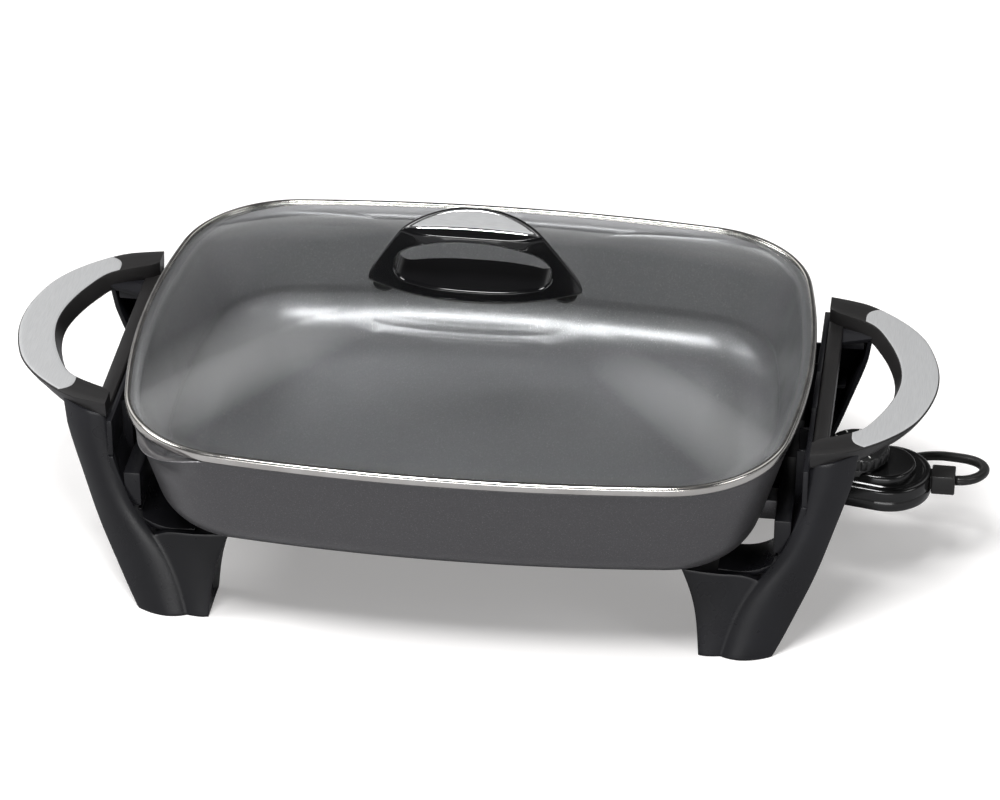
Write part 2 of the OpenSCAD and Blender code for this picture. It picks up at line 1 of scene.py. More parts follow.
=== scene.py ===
import bpy, bmesh, json, math
import numpy as np
from mathutils import Vector
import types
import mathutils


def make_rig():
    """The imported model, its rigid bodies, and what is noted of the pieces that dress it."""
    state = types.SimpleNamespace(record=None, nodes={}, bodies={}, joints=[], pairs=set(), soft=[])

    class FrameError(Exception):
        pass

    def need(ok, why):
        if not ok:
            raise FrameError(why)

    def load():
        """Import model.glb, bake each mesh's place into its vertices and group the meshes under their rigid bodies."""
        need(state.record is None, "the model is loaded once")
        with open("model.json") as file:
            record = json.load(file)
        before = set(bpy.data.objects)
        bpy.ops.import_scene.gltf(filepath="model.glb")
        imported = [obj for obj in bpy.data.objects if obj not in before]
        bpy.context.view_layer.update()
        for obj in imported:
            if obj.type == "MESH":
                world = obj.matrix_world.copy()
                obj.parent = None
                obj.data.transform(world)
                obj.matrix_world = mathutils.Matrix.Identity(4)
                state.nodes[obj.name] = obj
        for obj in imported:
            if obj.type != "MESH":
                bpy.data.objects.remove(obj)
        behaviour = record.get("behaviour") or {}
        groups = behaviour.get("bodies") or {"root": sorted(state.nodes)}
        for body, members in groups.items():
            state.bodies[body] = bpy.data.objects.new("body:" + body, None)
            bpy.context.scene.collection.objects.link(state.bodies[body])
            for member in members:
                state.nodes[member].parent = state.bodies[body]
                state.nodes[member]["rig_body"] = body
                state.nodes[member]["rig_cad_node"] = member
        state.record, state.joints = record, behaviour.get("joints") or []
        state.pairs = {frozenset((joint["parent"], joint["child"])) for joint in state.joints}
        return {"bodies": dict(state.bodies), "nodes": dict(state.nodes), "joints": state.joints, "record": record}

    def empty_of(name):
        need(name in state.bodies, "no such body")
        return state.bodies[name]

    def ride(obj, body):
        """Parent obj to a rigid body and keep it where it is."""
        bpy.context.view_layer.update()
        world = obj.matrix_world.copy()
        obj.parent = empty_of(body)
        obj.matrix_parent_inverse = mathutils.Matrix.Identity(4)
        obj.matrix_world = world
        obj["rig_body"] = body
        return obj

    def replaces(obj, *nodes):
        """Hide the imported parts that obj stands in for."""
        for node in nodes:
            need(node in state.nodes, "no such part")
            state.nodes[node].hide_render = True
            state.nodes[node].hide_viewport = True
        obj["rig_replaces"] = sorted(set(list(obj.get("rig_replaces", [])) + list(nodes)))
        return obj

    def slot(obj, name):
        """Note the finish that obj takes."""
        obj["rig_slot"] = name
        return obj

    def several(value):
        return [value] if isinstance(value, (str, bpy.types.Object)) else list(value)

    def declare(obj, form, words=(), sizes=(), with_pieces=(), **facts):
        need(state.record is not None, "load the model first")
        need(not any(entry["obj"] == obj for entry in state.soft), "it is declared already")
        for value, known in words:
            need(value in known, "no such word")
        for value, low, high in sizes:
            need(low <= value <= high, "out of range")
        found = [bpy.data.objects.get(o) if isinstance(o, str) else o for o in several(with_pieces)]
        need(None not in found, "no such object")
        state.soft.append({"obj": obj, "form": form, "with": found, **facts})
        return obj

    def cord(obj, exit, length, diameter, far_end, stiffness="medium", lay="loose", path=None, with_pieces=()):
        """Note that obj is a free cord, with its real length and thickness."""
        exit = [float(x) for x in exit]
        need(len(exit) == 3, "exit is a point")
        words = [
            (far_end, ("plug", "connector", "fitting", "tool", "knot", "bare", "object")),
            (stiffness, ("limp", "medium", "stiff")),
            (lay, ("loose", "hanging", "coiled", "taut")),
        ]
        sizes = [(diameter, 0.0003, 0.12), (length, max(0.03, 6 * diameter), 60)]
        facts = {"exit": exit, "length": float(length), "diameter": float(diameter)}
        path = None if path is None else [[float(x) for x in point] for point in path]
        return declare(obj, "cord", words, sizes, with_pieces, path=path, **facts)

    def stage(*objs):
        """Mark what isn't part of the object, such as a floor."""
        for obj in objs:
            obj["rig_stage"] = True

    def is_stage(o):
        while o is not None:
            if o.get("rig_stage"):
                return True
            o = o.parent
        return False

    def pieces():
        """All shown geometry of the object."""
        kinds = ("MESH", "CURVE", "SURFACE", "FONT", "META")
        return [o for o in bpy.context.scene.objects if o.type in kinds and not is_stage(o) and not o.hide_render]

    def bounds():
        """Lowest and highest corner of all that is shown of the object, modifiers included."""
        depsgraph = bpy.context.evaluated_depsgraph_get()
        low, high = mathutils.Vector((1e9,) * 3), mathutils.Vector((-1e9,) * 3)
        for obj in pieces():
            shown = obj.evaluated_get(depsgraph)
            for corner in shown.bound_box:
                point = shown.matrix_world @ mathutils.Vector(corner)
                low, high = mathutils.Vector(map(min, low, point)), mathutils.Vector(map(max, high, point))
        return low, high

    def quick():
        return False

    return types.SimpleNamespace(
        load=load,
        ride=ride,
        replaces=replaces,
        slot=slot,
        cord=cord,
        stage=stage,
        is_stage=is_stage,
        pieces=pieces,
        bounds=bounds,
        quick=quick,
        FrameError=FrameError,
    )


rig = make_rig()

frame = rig.load()
cad_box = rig.bounds()
col = bpy.context.scene.collection
MM = 0.001


def rad(d):
    return math.radians(d)


# ------------------------------------------------------------------ camera
cam = bpy.data.objects.new("camera", bpy.data.cameras.new("camera"))
col.objects.link(cam)
cam.data.lens = 158.98
cam.data.sensor_width = 36
cam.data.clip_end = 20
back = Vector((0.11193, -0.83647, 0.53647)).normalized()
cam.location = Vector((0.0149, 0, 0.101)) + back * 2.658
cam.rotation_euler = (-back).to_track_quat("-Z", "Y").to_euler()
bpy.context.scene.camera = cam


# ------------------------------------------------------------------ mesh helpers (millimetres in, metres out)
def new_obj(name, verts, faces, smooth=True, mat_of=None):
    me = bpy.data.meshes.new(name)
    me.from_pydata([(v[0] * MM, v[1] * MM, v[2] * MM) for v in verts], [], [tuple(int(i) for i in f) for f in faces])
    me.validate()
    me.update()
    o = bpy.data.objects.new(name, me)
    col.objects.link(o)
    me.polygons.foreach_set("use_smooth", [smooth] * len(me.polygons))
    if mat_of is not None:
        me.polygons.foreach_set("material_index", mat_of)
    return o


def fix_normals(o):
    bm = bmesh.new()
    bm.from_mesh(o.data)
    bmesh.ops.recalc_face_normals(bm, faces=bm.faces)
    bm.to_mesh(o.data)
    bm.free()
    return o


def sharp(o, angle=35):
    """Smooth shading with creases where faces meet at more than the angle."""
    bm = bmesh.new()
    bm.from_mesh(o.data)
    lim = rad(angle)
    for e in bm.edges:
        e.smooth = not (len(e.link_faces) == 2 and e.calc_face_angle(0) > lim)
    for f in bm.faces:
        f.smooth = True
    bm.to_mesh(o.data)
    bm.free()
    return o


def loft(rings, cap0=True, cap1=True, close=False):
    """Quads between rings of equal length. Returns verts, faces."""
    n, m = len(rings[0]), len(rings)
    verts = [tuple(p) for r in rings for p in r]
    faces = []
    for j in range(m if close else m - 1):
        k = (j + 1) % m
        for i in range(n):
            i2 = (i + 1) % n
            faces.append((j * n + i, j * n + i2, k * n + i2, k * n + i))
    if not close:
        if cap0:
            verts.append(tuple(np.mean(np.array(rings[0], float), axis=0)))
            c = len(verts) - 1
            faces += [(c, (i + 1) % n, i) for i in range(n)]
        if cap1:
            verts.append(tuple(np.mean(np.array(rings[-1], float), axis=0)))
            c = len(verts) - 1
            b = (m - 1) * n
            faces += [(c, b + i, b + (i + 1) % n) for i in range(n)]
    return verts, faces


def catmull(pts, per=8, closed=False):
    """Smooth line through the points (centripetal)."""
    P = [np.array(p, float) for p in pts]
    n = len(P)
    out = []
    segs = n if closed else n - 1
    for i in range(segs):
        p1, p2 = P[i], P[(i + 1) % n]
        p0 = P[(i - 1) % n] if closed or i > 0 else 2 * p1 - p2
        p3 = P[(i + 2) % n] if closed or i + 2 < n else 2 * p2 - p1
        t0 = 0.0
        t1 = t0 + max(np.linalg.norm(p1 - p0), 1e-6) ** 0.5
        t2 = t1 + max(np.linalg.norm(p2 - p1), 1e-6) ** 0.5
        t3 = t2 + max(np.linalg.norm(p3 - p2), 1e-6) ** 0.5
        for k in range(per):
            t = t1 + (t2 - t1) * k / per
            a1 = (t1 - t) / (t1 - t0) * p0 + (t - t0) / (t1 - t0) * p1
            a2 = (t2 - t) / (t2 - t1) * p1 + (t - t1) / (t2 - t1) * p2
            a3 = (t3 - t) / (t3 - t2) * p2 + (t - t2) / (t3 - t2) * p3
            b1 = (t2 - t) / (t2 - t0) * a1 + (t - t0) / (t2 - t0) * a2
            b2 = (t3 - t) / (t3 - t1) * a2 + (t - t1) / (t3 - t1) * a3
            out.append((t2 - t) / (t2 - t1) * b1 + (t - t1) / (t2 - t1) * b2)
    if not closed:
        out.append(P[-1])
    return np.array(out)


def resample(line, step=None, count=None, closed=False):
    L = np.array(line, float)
    if closed:
        L = np.vstack([L, L[:1]])
    d = np.concatenate([[0], np.cumsum(np.linalg.norm(np.diff(L, axis=0), axis=1))])
    n = count if count else max(2, int(round(d[-1] / step)))
    t = np.linspace(0, d[-1], n + 1)
    out = np.stack([np.interp(t, d, L[:, k]) for k in range(L.shape[1])], 1)
    return out[:-1] if closed else out


def frames(P):
    T = np.gradient(P, axis=0)
    T /= np.linalg.norm(T, axis=1)[:, None]
    up = np.array([0, 0, 1.0]) if abs(T[0][2]) < 0.8 else np.array([1.0, 0, 0])
    S = [np.cross(T[0], up)]
    S[0] /= np.linalg.norm(S[0])
    for i in range(1, len(P)):
        v = S[-1] - np.dot(S[-1], T[i]) * T[i]
        S.append(v / np.linalg.norm(v))
    S = np.array(S)
    return T, S, np.cross(T, S)


def tube(name, P, radius, n=16, shape=None):
    T, S, W = frames(P)
    rings = []
    for i, p in enumerate(P):
        r = radius[i] if hasattr(radius, "__len__") else radius
        ring = []
        for k in range(n):
            a = 2 * math.pi * k / n
            q = r * (shape(a) if shape else 1)
            ring.append(p + q * (math.cos(a) * S[i] + math.sin(a) * W[i]))
        rings.append(ring)
    return new_obj(name, *loft(rings))


def prism(name, plan, z0, z1, bevel=0.0, seg=3, axis="z", smooth=True):
    """Extruded outline with a bevel round both ends."""
    n = len(plan)
    verts = [(p[0], p[1], z0) for p in plan] + [(p[0], p[1], z1) for p in plan]
    faces = [tuple(range(n - 1, -1, -1)), tuple(range(n, 2 * n))]
    faces += [(i, (i + 1) % n, n + (i + 1) % n, n + i) for i in range(n)]
    if axis == "y":
        verts = [(v[0], v[2], v[1]) for v in verts]
    if axis == "x":
        verts = [(v[2], v[0], v[1]) for v in verts]
    o = fix_normals(new_obj(name, verts, faces))
    if bevel:
        bevel_ends(o, bevel, seg)
    return o


def bevel_ends(o, width, seg=3, angle=50):
    bm = bmesh.new()
    bm.from_mesh(o.data)
    es = [e for e in bm.edges if len(e.link_faces) == 2 and e.calc_face_angle(0) > rad(angle)]
    bmesh.ops.bevel(bm, geom=es, offset=width * MM, segments=seg, profile=0.5, affect="EDGES", clamp_overlap=True)
    bm.to_mesh(o.data)
    bm.free()
    sharp(o, 30)


def block(name, lo, hi, bevel=1.0, seg=3):
    return prism(name, [(lo[0], lo[1]), (hi[0], lo[1]), (hi[0], hi[1]), (lo[0], hi[1])], lo[2], hi[2], bevel, seg)


def join(name, objs):
    bm = bmesh.new()
    for o in objs:
        me = o.data
        bm.from_mesh(me)
    me = bpy.data.meshes.new(name)
    bm.to_mesh(me)
    bm.free()
    r = bpy.data.objects.new(name, me)
    col.objects.link(r)
    for o in objs:
        bpy.data.objects.remove(o)
    return r


def mirrored(name, o, axis):
    me = o.data.copy()
    bm = bmesh.new()
    bm.from_mesh(me)
    for v in bm.verts:
        v.co[axis] = -v.co[axis]
    bmesh.ops.reverse_faces(bm, faces=bm.faces)
    bm.to_mesh(me)
    bm.free()
    r = bpy.data.objects.new(name, me)
    col.objects.link(r)
    for m in o.modifiers:
        k = r.modifiers.new(m.name, m.type)
        for a in ("levels", "render_levels", "thickness", "offset", "width", "segments", "angle_limit", "limit_method"):
            if hasattr(m, a):
                setattr(k, a, getattr(m, a))
    return r


# ------------------------------------------------------------------ materials
def material(name, **k):
    m = bpy.data.materials.new(name)
    m.use_nodes = True
    nt = m.node_tree
    b = nt.nodes["Principled BSDF"]
    for key, v in k.items():
        sock = key.replace("_", " ").title()
        sock = {"Ior": "IOR", "Specular": "Specular IOR Level", "Coat": "Coat Weight", "Sheen": "Sheen Weight", "Transmission": "Transmission Weight", "Color": "Base Color"}.get(sock, sock)
        b.inputs[sock].default_value = (*v, 1) if isinstance(v, tuple) and len(v) == 3 else v
    return m, nt, b


def coords(nt, scale=(1, 1, 1)):
    tc = nt.nodes.new("ShaderNodeTexCoord")
    mp = nt.nodes.new("ShaderNodeMapping")
    mp.inputs["Scale"].default_value = scale
    nt.links.new(tc.outputs["Object"], mp.inputs["Vector"])
    return mp.outputs["Vector"]


def noise_tex(nt, scale, detail=3, rough=0.55, stretch=(1, 1, 1)):
    n = nt.nodes.new("ShaderNodeTexNoise")
    n.inputs["Scale"].default_value = scale
    n.inputs["Detail"].default_value = detail
    n.inputs["Roughness"].default_value = rough
    nt.links.new(coords(nt, stretch), n.inputs["Vector"])
    return n.outputs["Fac"]


def ramp(nt, fac, stops):
    r = nt.nodes.new("ShaderNodeValToRGB")
    e = r.color_ramp.elements
    while len(e) < len(stops):
        e.new(0.5)
    for el, (p, c) in zip(e, stops):
        el.position = p
        el.color = (*c, 1) if len(c) == 3 else c
    nt.links.new(fac, r.inputs["Fac"])
    return r.outputs["Color"]


def grey(v):
    return (v, v, v)


def vary(nt, b, c0, c1, scale, stretch=(1, 1, 1), lo=0.35, hi=0.65, detail=3):
    nt.links.new(ramp(nt, noise_tex(nt, scale, detail, stretch=stretch), [(lo, c0), (hi, c1)]), b.inputs["Base Color"])


def vary_rough(nt, b, r0, r1, scale, stretch=(1, 1, 1), detail=3):
    nt.links.new(ramp(nt, noise_tex(nt, scale, detail, stretch=stretch), [(0.3, grey(r0)), (0.7, grey(r1))]), b.inputs["Roughness"])


def bump(nt, b, scale, dist, strength=1.0, stretch=(1, 1, 1), detail=2, also=None):
    n = nt.nodes.new("ShaderNodeBump")
    n.inputs["Distance"].default_value = dist
    n.inputs["Strength"].default_value = strength
    nt.links.new(noise_tex(nt, scale, detail, stretch=stretch), n.inputs["Height"])
    if also is not None:
        nt.links.new(also, n.inputs["Normal"])
    nt.links.new(n.outputs["Normal"], b.inputs["Normal"])
    return n.outputs["Normal"]


# charcoal metallic coating on the outside of the pan, with fine flakes
m_pan_out, nt, b = material("pan_coating_outside", metallic=0.6, roughness=0.36, specular=0.4, coat=0.1, coat_roughness=0.25)
vo = nt.nodes.new("ShaderNodeTexVoronoi")
vo.inputs["Scale"].default_value = 2600
nt.links.new(coords(nt), vo.inputs["Vector"])
nt.links.new(ramp(nt, vo.outputs["Color"], [(0.15, (0.098, 0.096, 0.100)), (0.8, (0.120, 0.117, 0.122)), (0.98, (0.22, 0.217, 0.22))]), b.inputs["Base Color"])
vary_rough(nt, b, 0.33, 0.40, 60)
bump(nt, b, 1500, 0.000006, 0.35)

# nonstick coating inside
m_pan_in, nt, b = material("pan_coating_inside", metallic=0.0, roughness=0.45, specular=0.08)
vary(nt, b, (0.046, 0.0465, 0.047), (0.050, 0.0505, 0.051), 500, detail=2)
vary_rough(nt, b, 0.43, 0.47, 25)
bump(nt, b, 1800, 0.000001, 0.1)

# clear glass that lets lamps through
m_glass, nt, b = material("clear_glass", color=(0.97, 0.985, 0.98), roughness=0.0, ior=1.5, transmission=1.0, specular=0.16)
lp = nt.nodes.new("ShaderNodeLightPath")
tr = nt.nodes.new("ShaderNodeBsdfTransparent")
tr.inputs["Color"].default_value = (0.94, 0.955, 0.95, 1)
mx = nt.nodes.new("ShaderNodeMixShader")
nt.links.new(lp.outputs["Is Shadow Ray"], mx.inputs[0])
nt.links.new(b.outputs[0], mx.inputs[1])
nt.links.new(tr.outputs[0], mx.inputs[2])
nt.links.new(mx.outputs[0], nt.nodes["Material Output"].inputs["Surface"])

# polished stainless band
m_band, nt, b = material("band_steel", metallic=1.0, roughness=0.17)
vary(nt, b, (0.58, 0.56, 0.53), (0.70, 0.68, 0.65), 40, detail=4)
vary_rough(nt, b, 0.13, 0.24, 120)
bump(nt, b, 2400, 0.000006, 0.4)


def satin(name, c0, c1, r0, r1, grain=900, depth=0.00003, metallic=0.0, coat=0.0, spec=0.5):
    m, nt, b = material(name, metallic=metallic, coat=coat, coat_roughness=0.1, specular=spec)
    vary(nt, b, c0, c1, 18, detail=3)
    vary_rough(nt, b, r0, r1, 45)
    bump(nt, b, grain, depth, 0.5)
    return m


m_leg = satin("leg_moulding", (0.0085, 0.0085, 0.010), (0.012, 0.012, 0.0145), 0.26, 0.33, 1300, 0.000001, spec=0.32)
m_tip = satin("handle_moulding", (0.014, 0.0135, 0.0135), (0.019, 0.018, 0.018), 0.34, 0.42, 1100, 0.000003, spec=0.45)
m_gloss = satin("gloss_moulding", (0.003, 0.003, 0.0034), (0.005, 0.005, 0.0055), 0.07, 0.11, 400, 0.000002, coat=0.15, spec=0.4)
m_case = satin("control_moulding", (0.005, 0.005, 0.005), (0.008, 0.008, 0.008), 0.15, 0.22, 700, 0.000004, coat=0.2)
m_dial = satin("dial_moulding", (0.008, 0.008, 0.008), (0.012, 0.012, 0.012), 0.26, 0.34, 900, 0.00001)
m_cord = satin("cord_cover", (0.010, 0.0095, 0.009), (0.016, 0.0155, 0.015), 0.32, 0.42, 1500, 0.00001)
m_gasket = satin("gasket_rubber", (0.012, 0.012, 0.012), (0.02, 0.02, 0.02), 0.55, 0.7, 1500, 0.00003)
m_steel = satin("plated_steel", (0.55, 0.545, 0.53), (0.7, 0.69, 0.67), 0.22, 0.36, 1500, 0.000006, metallic=1.0)
m_dark_steel = satin("blackened_steel", (0.03, 0.03, 0.03), (0.05, 0.05, 0.05), 0.3, 0.45, 1500, 0.000006, metallic=0.8)
m_sheath = satin("element_sheath", (0.12, 0.115, 0.11), (0.22, 0.2, 0.18), 0.45, 0.62, 700, 0.00003, metallic=0.85)
m_ceramic = satin("ceramic", (0.72, 0.70, 0.64), (0.82, 0.80, 0.74), 0.5, 0.65, 900, 0.00002)
m_brass = satin("brass_contact", (0.62, 0.46, 0.2), (0.74, 0.57, 0.27), 0.22, 0.34, 1500, 0.000005, metallic=1.0)
m_blade = satin("spring_alloy", (0.58, 0.36, 0.18), (0.70, 0.45, 0.24), 0.28, 0.4, 1200, 0.000005, metallic=1.0)
m_silver = satin("silver_contact", (0.78, 0.78, 0.77), (0.86, 0.86, 0.85), 0.2, 0.3, 1500, 0.000004, metallic=1.0)
m_wire = satin("wire_braid", (0.62, 0.61, 0.57), (0.78, 0.77, 0.72), 0.6, 0.75, 2500, 0.00008)
m_mark = satin("dial_marks", (0.62, 0.62, 0.6), (0.7, 0.7, 0.68), 0.45, 0.55, 900, 0.00001)

# brushed aluminium, grain along the depth of the handle
m_trim, nt, b = material("brushed_aluminium", metallic=0.55, roughness=0.3)
vary(nt, b, (0.62, 0.625, 0.63), (0.70, 0.705, 0.71), 420, stretch=(9, 0.25, 1), detail=5)
vary_rough(nt, b, 0.38, 0.48, 300, stretch=(8, 0.3, 1))
bump(nt, b, 420, 0.00001, 0.5, stretch=(10, 0.2, 1), detail=4)

# satin badge plate
m_badge, nt, b = material("badge_plate", metallic=0.35, roughness=0.32)
vary(nt, b, (0.46, 0.465, 0.47), (0.52, 0.525, 0.53), 600, stretch=(0.3, 6, 1), detail=4)
vary_rough(nt, b, 0.28, 0.38, 200)
bump(nt, b, 800, 0.000008, 0.4, stretch=(0.3, 6, 1))
m_badge_rim, nt, b = material("badge_border", metallic=1.0, roughness=0.16)
vary(nt, b, (0.74, 0.74, 0.74), (0.88, 0.88, 0.88), 200)
vary_rough(nt, b, 0.12, 0.22, 300)

# woven strap
m_tie, nt, b = material("tie_weave", roughness=0.85)
wv = nt.nodes.new("ShaderNodeTexWave")
wv.inputs["Scale"].default_value = 900
wv.inputs["Distortion"].default_value = 1.5
nt.links.new(coords(nt, (1, 1, 1)), wv.inputs["Vector"])
nt.links.new(ramp(nt, wv.outputs["Fac"], [(0.2, (0.012, 0.012, 0.013)), (0.8, (0.045, 0.045, 0.048))]), b.inputs["Base Color"])
bp = nt.nodes.new("ShaderNodeBump")
bp.inputs["Distance"].default_value = 0.0002
nt.links.new(wv.outputs["Fac"], bp.inputs["Height"])
nt.links.new(bp.outputs["Normal"], b.inputs["Normal"])


def dress(o, *mats):
    o.data.materials.clear()
    for m in mats:
        o.data.materials.append(m)
    return o


def cad(node, m):
    o = frame["nodes"][node]
    for s in o.material_slots:
        s.link = "OBJECT"
        s.material = m


# ------------------------------------------------------------------ cord
lead_route = [(290, 0, 67), (296, 1, 67), (302, 5, 66.5), (306, 11, 66), (307, 18, 65), (304, 25, 64), (298, 30, 63),
              (290, 33, 62), (280, 36, 60.5), (268, 39, 57), (257, 42, 51), (247, 48, 42), (238, 56, 31), (231, 66, 19),
              (226, 77, 9), (222, 89, 4), (217, 101, 3), (209, 112, 3), (198, 121, 3), (184, 127, 3), (168, 130, 3),
              (150, 131.5, 3), (130, 132, 3.5), (112, 132, 4)]
tail_route = [(84, 132, 16), (72, 132, 14.5), (60, 132.5, 12), (50, 134, 10), (42, 135, 9)]
coil = []
for i in range(0, 41):
    a = rad(-90 - 18 * i)
    coil.append((95 + 33 * math.cos(a), 165 + 33 * math.sin(a), 4 + 12 * i / 40))
cord_line = resample(catmull(lead_route + coil + tail_route, 6), step=2.2)
cord_len = float(np.linalg.norm(np.diff(cord_line, axis=0), axis=1).sum())


def twin(a):
    """Flat sides of a two-core lead: a fine groove along two opposite sides."""
    g = math.exp(-((math.sin(a) ** 2 - 1) / 0.10) ** 2)
    return 1.0 - 0.13 * g


cord = dress(tube("cord", cord_line, 3.0, 24, twin), m_cord)

# strain relief: rectangular block with a smaller block where it enters the case
relief_parts = [block("r0", (275.9, -7, 60.6), (290, 7, 73.2), 0.9, 3), block("r1", (270, -4.9, 62.6), (276.4, 4.9, 71.4), 0.4, 2)]
ring = resample(np.array([(289.9, 4 * math.cos(t), 67 + 4 * math.sin(t)) for t in np.linspace(0, 2 * math.pi, 48, endpoint=False)]), count=48, closed=True)
relief = dress(sharp(join("strain_relief_block", relief_parts)), m_cord)


def rounded_rect(hx, hy, r, n=6):
    pts = []
    for cx, cy, a0 in ((hx - r, hy - r, 0), (-hx + r, hy - r, 90), (-hx + r, -hy + r, 180), (hx - r, -hy + r, 270)):
        pts += [(cx + r * math.cos(rad(a0 + 90 * k / n)), cy + r * math.sin(rad(a0 + 90 * k / n))) for k in range(n + 1)]
    return pts


# plug: tapered strain relief with ribs, then a moulded body with finger grips
px, py, pz = 42, 135, 9
rings = []
for x, hy, hz, r in [(0, 3.6, 3.6, 3.59), (1, 4.1, 4.1, 4.09), (2.6, 4.2, 4.2, 4.1), (3.0, 3.6, 3.6, 3.5), (4.2, 3.6, 3.6, 3.5), (4.6, 4.8, 4.6, 4.5), (6.4, 4.9, 4.8, 4.6), (6.8, 4.2, 4.2, 4),
                     (8, 4.3, 4.2, 4), (8.4, 5.6, 5.2, 4.8), (10.4, 5.9, 5.4, 4.9), (10.8, 5.1, 4.8, 4.5), (12, 5.3, 5, 4.6), (13, 7.4, 6.4, 4), (15, 9.8, 7.8, 3.6), (18, 11.3, 8.6, 3.2),
                     (22, 11.2, 8.5, 3), (26, 10.6, 8.1, 3), (30, 11.4, 8.6, 3), (33, 11.8, 8.7, 2.6), (33.8, 11.2, 8.2, 2.2), (34, 10.6, 7.6, 1.8)]:
    rings.append([(px - x, py + a, pz + c) for a, c in rounded_rect(hy, hz, r)])
plug = dress(sharp(fix_normals(new_obj("plug_moulding", *loft(rings))), 50), m_cord)
blades = []
for t in (-1, 1):
    blades.append(prism("bl", [(-8.4, py + t * 6.35 - 0.75), (8.2, py + t * 6.35 - 0.75), (8.2, py + t * 6.35 + 0.75), (-8.4, py + t * 6.35 + 0.75)], pz - 3.15, pz + 3.15, 0.5, 2))
plug_blades = dress(join("plug_blade_pair", blades), m_brass)

# strap round the coil
tie_rings = []
for x in np.linspace(90, 100, 9):
    w = [(198 + a, 10 + c) for a, c in rounded_rect(4.2, 9.9, 2.6, 5)]
    tie_rings.append([(x, a, max(c, 0.05)) for a, c in w])
v, f = loft(tie_rings, False, False)
tie = new_obj("cord_strap", v, f)
sol = tie.modifiers.new("solid", "SOLIDIFY")
sol.thickness = 0.0008
sol.offset = -1
dress(tie, m_tie)

for o in (cord, relief, plug, plug_blades, tie):
    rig.ride(o, "heat_control")
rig.replaces(cord, "cord_lead", "cord_coil", "cord_tail")
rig.replaces(relief, "strain_relief")
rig.replaces(plug, "plug_body")
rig.replaces(plug_blades, "plug_blades")
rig.replaces(tie, "cord_tie")
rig.slot(cord, "cord_cover"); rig.slot(relief, "cord_cover"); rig.slot(plug, "cord_cover"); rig.slot(plug_blades, "brass"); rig.slot(tie, "tie_fabric")
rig.cord(cord, exit=(0.290, 0, 0.067), length=round(cord_len * MM, 3), diameter=0.006, far_end="plug", stiffness="limp", lay="coiled",
        path=[tuple(p * MM) for p in cord_line], with_pieces=[plug, plug_blades, tie, relief])


# ------------------------------------------------------------------ shared plan shape: bowed rounded rectangle
def outline(a, b, r, s1, s2, n=24):
    A, B = a - r, b - r
    R1, R2 = (A * A + s1 * s1) / (2 * s1), (B * B + s2 * s2) / (2 * s2)
    x, y = A - s2, B - s1
    for _ in range(30):
        y = B - R1 + math.sqrt(max(R1 * R1 - x * x, 0))
        x = A - R2 + math.sqrt(max(R2 * R2 - y * y, 0))
    t1 = math.atan2(y, x - (A - R2))
    t2 = math.atan2(y - (B - R1), x)
    q = []
    for i in range(n):
        t = t1 * i / n
        q.append((A - R2 + (R2 + r) * math.cos(t), (R2 + r) * math.sin(t)))
    for i in range(2 * n):
        t = t1 + (t2 - t1) * i / (2 * n)
        q.append((x + r * math.cos(t), y + r * math.sin(t)))
    for i in range(n + 1):
        t = t2 + (math.pi / 2 - t2) * i / n
        q.append(((R1 + r) * math.cos(t), B - R1 + (R1 + r) * math.sin(t)))
    m = len(q)
    q += [(-q[i][0], q[i][1]) for i in range(m - 2, -1, -1)]
    q += [(-q[i][0], -q[i][1]) for i in range(1, m)]
    q += [(q[i][0], -q[i][1]) for i in range(m - 2, 0, -1)]
    return q


# ------------------------------------------------------------------ pan
RA, RB, RR, RIM, DR = 201.5, 155.5, 73, 139.0, 16.5
UNDER, FLOOR = 64.0, 70.0
SP = (-(RA - RR), -(RB - RR))
TD = math.tan(rad(DR))


def pan_plan(inset, d, dip=0.0, z=0.0):
    out = []
    for x, y in outline(RA - inset, RB - inset, max(RR - inset, 8), 8, 8):
        vx, vy = x - SP[0], y - SP[1]
        g = math.degrees(math.atan2(-vy, -vx)) - 57
        k = math.cos(rad(g * 3)) ** 2 if (x < 0 and y < 0 and abs(g) < 30) else 0.0
        L = max(math.hypot(vx, vy), 1)
        out.append((x + d * k * vx / L, y + d * k * vy / L, z - dip * k))
    return out


def spout(z):
    return float(np.interp(RIM - z, [0, 2.2, 6, 11, 17, 24], [1, 0.86, 0.62, 0.33, 0.1, 0])) * 11.5


arc_in = (RIM - (UNDER + 30 * (1 - math.sin(rad(DR))))) * TD
rows, idx = [], []


def row(inset, z, d=None, dip=0.0, k=0):
    rows.append(pan_plan(inset, spout(z) if d is None else d, dip, z))
    idx.append(k)


# outside, from the middle of the underside up
for s in (0.25, 0.5, 0.75, 0.9):
    rows.append([(p[0] * s, p[1] * s, UNDER) for p in pan_plan(arc_in + 30 * math.cos(rad(DR)), 0)])
    idx.append(0)
for k in range(17):
    t = rad(-90 + (90 - DR) * k / 16)
    row(arc_in + 30 * (math.cos(rad(DR)) - math.cos(t)), UNDER + 30 * (1 + math.sin(t)))
for z in np.linspace(88, 137.2, 26):
    row((RIM - z) * TD, z)
# rolled rim
row(0.05, 138.2, 11.5 * 0.96, 0.2); row(0.35, 138.75, 11.5 * 0.98, 0.5); row(1.0, 139.0, 11.5 * 0.99, 0.8)
for s in (2.5, 4.0, 5.0):
    row(s, 139.0, 11.5, 0.8, 1)
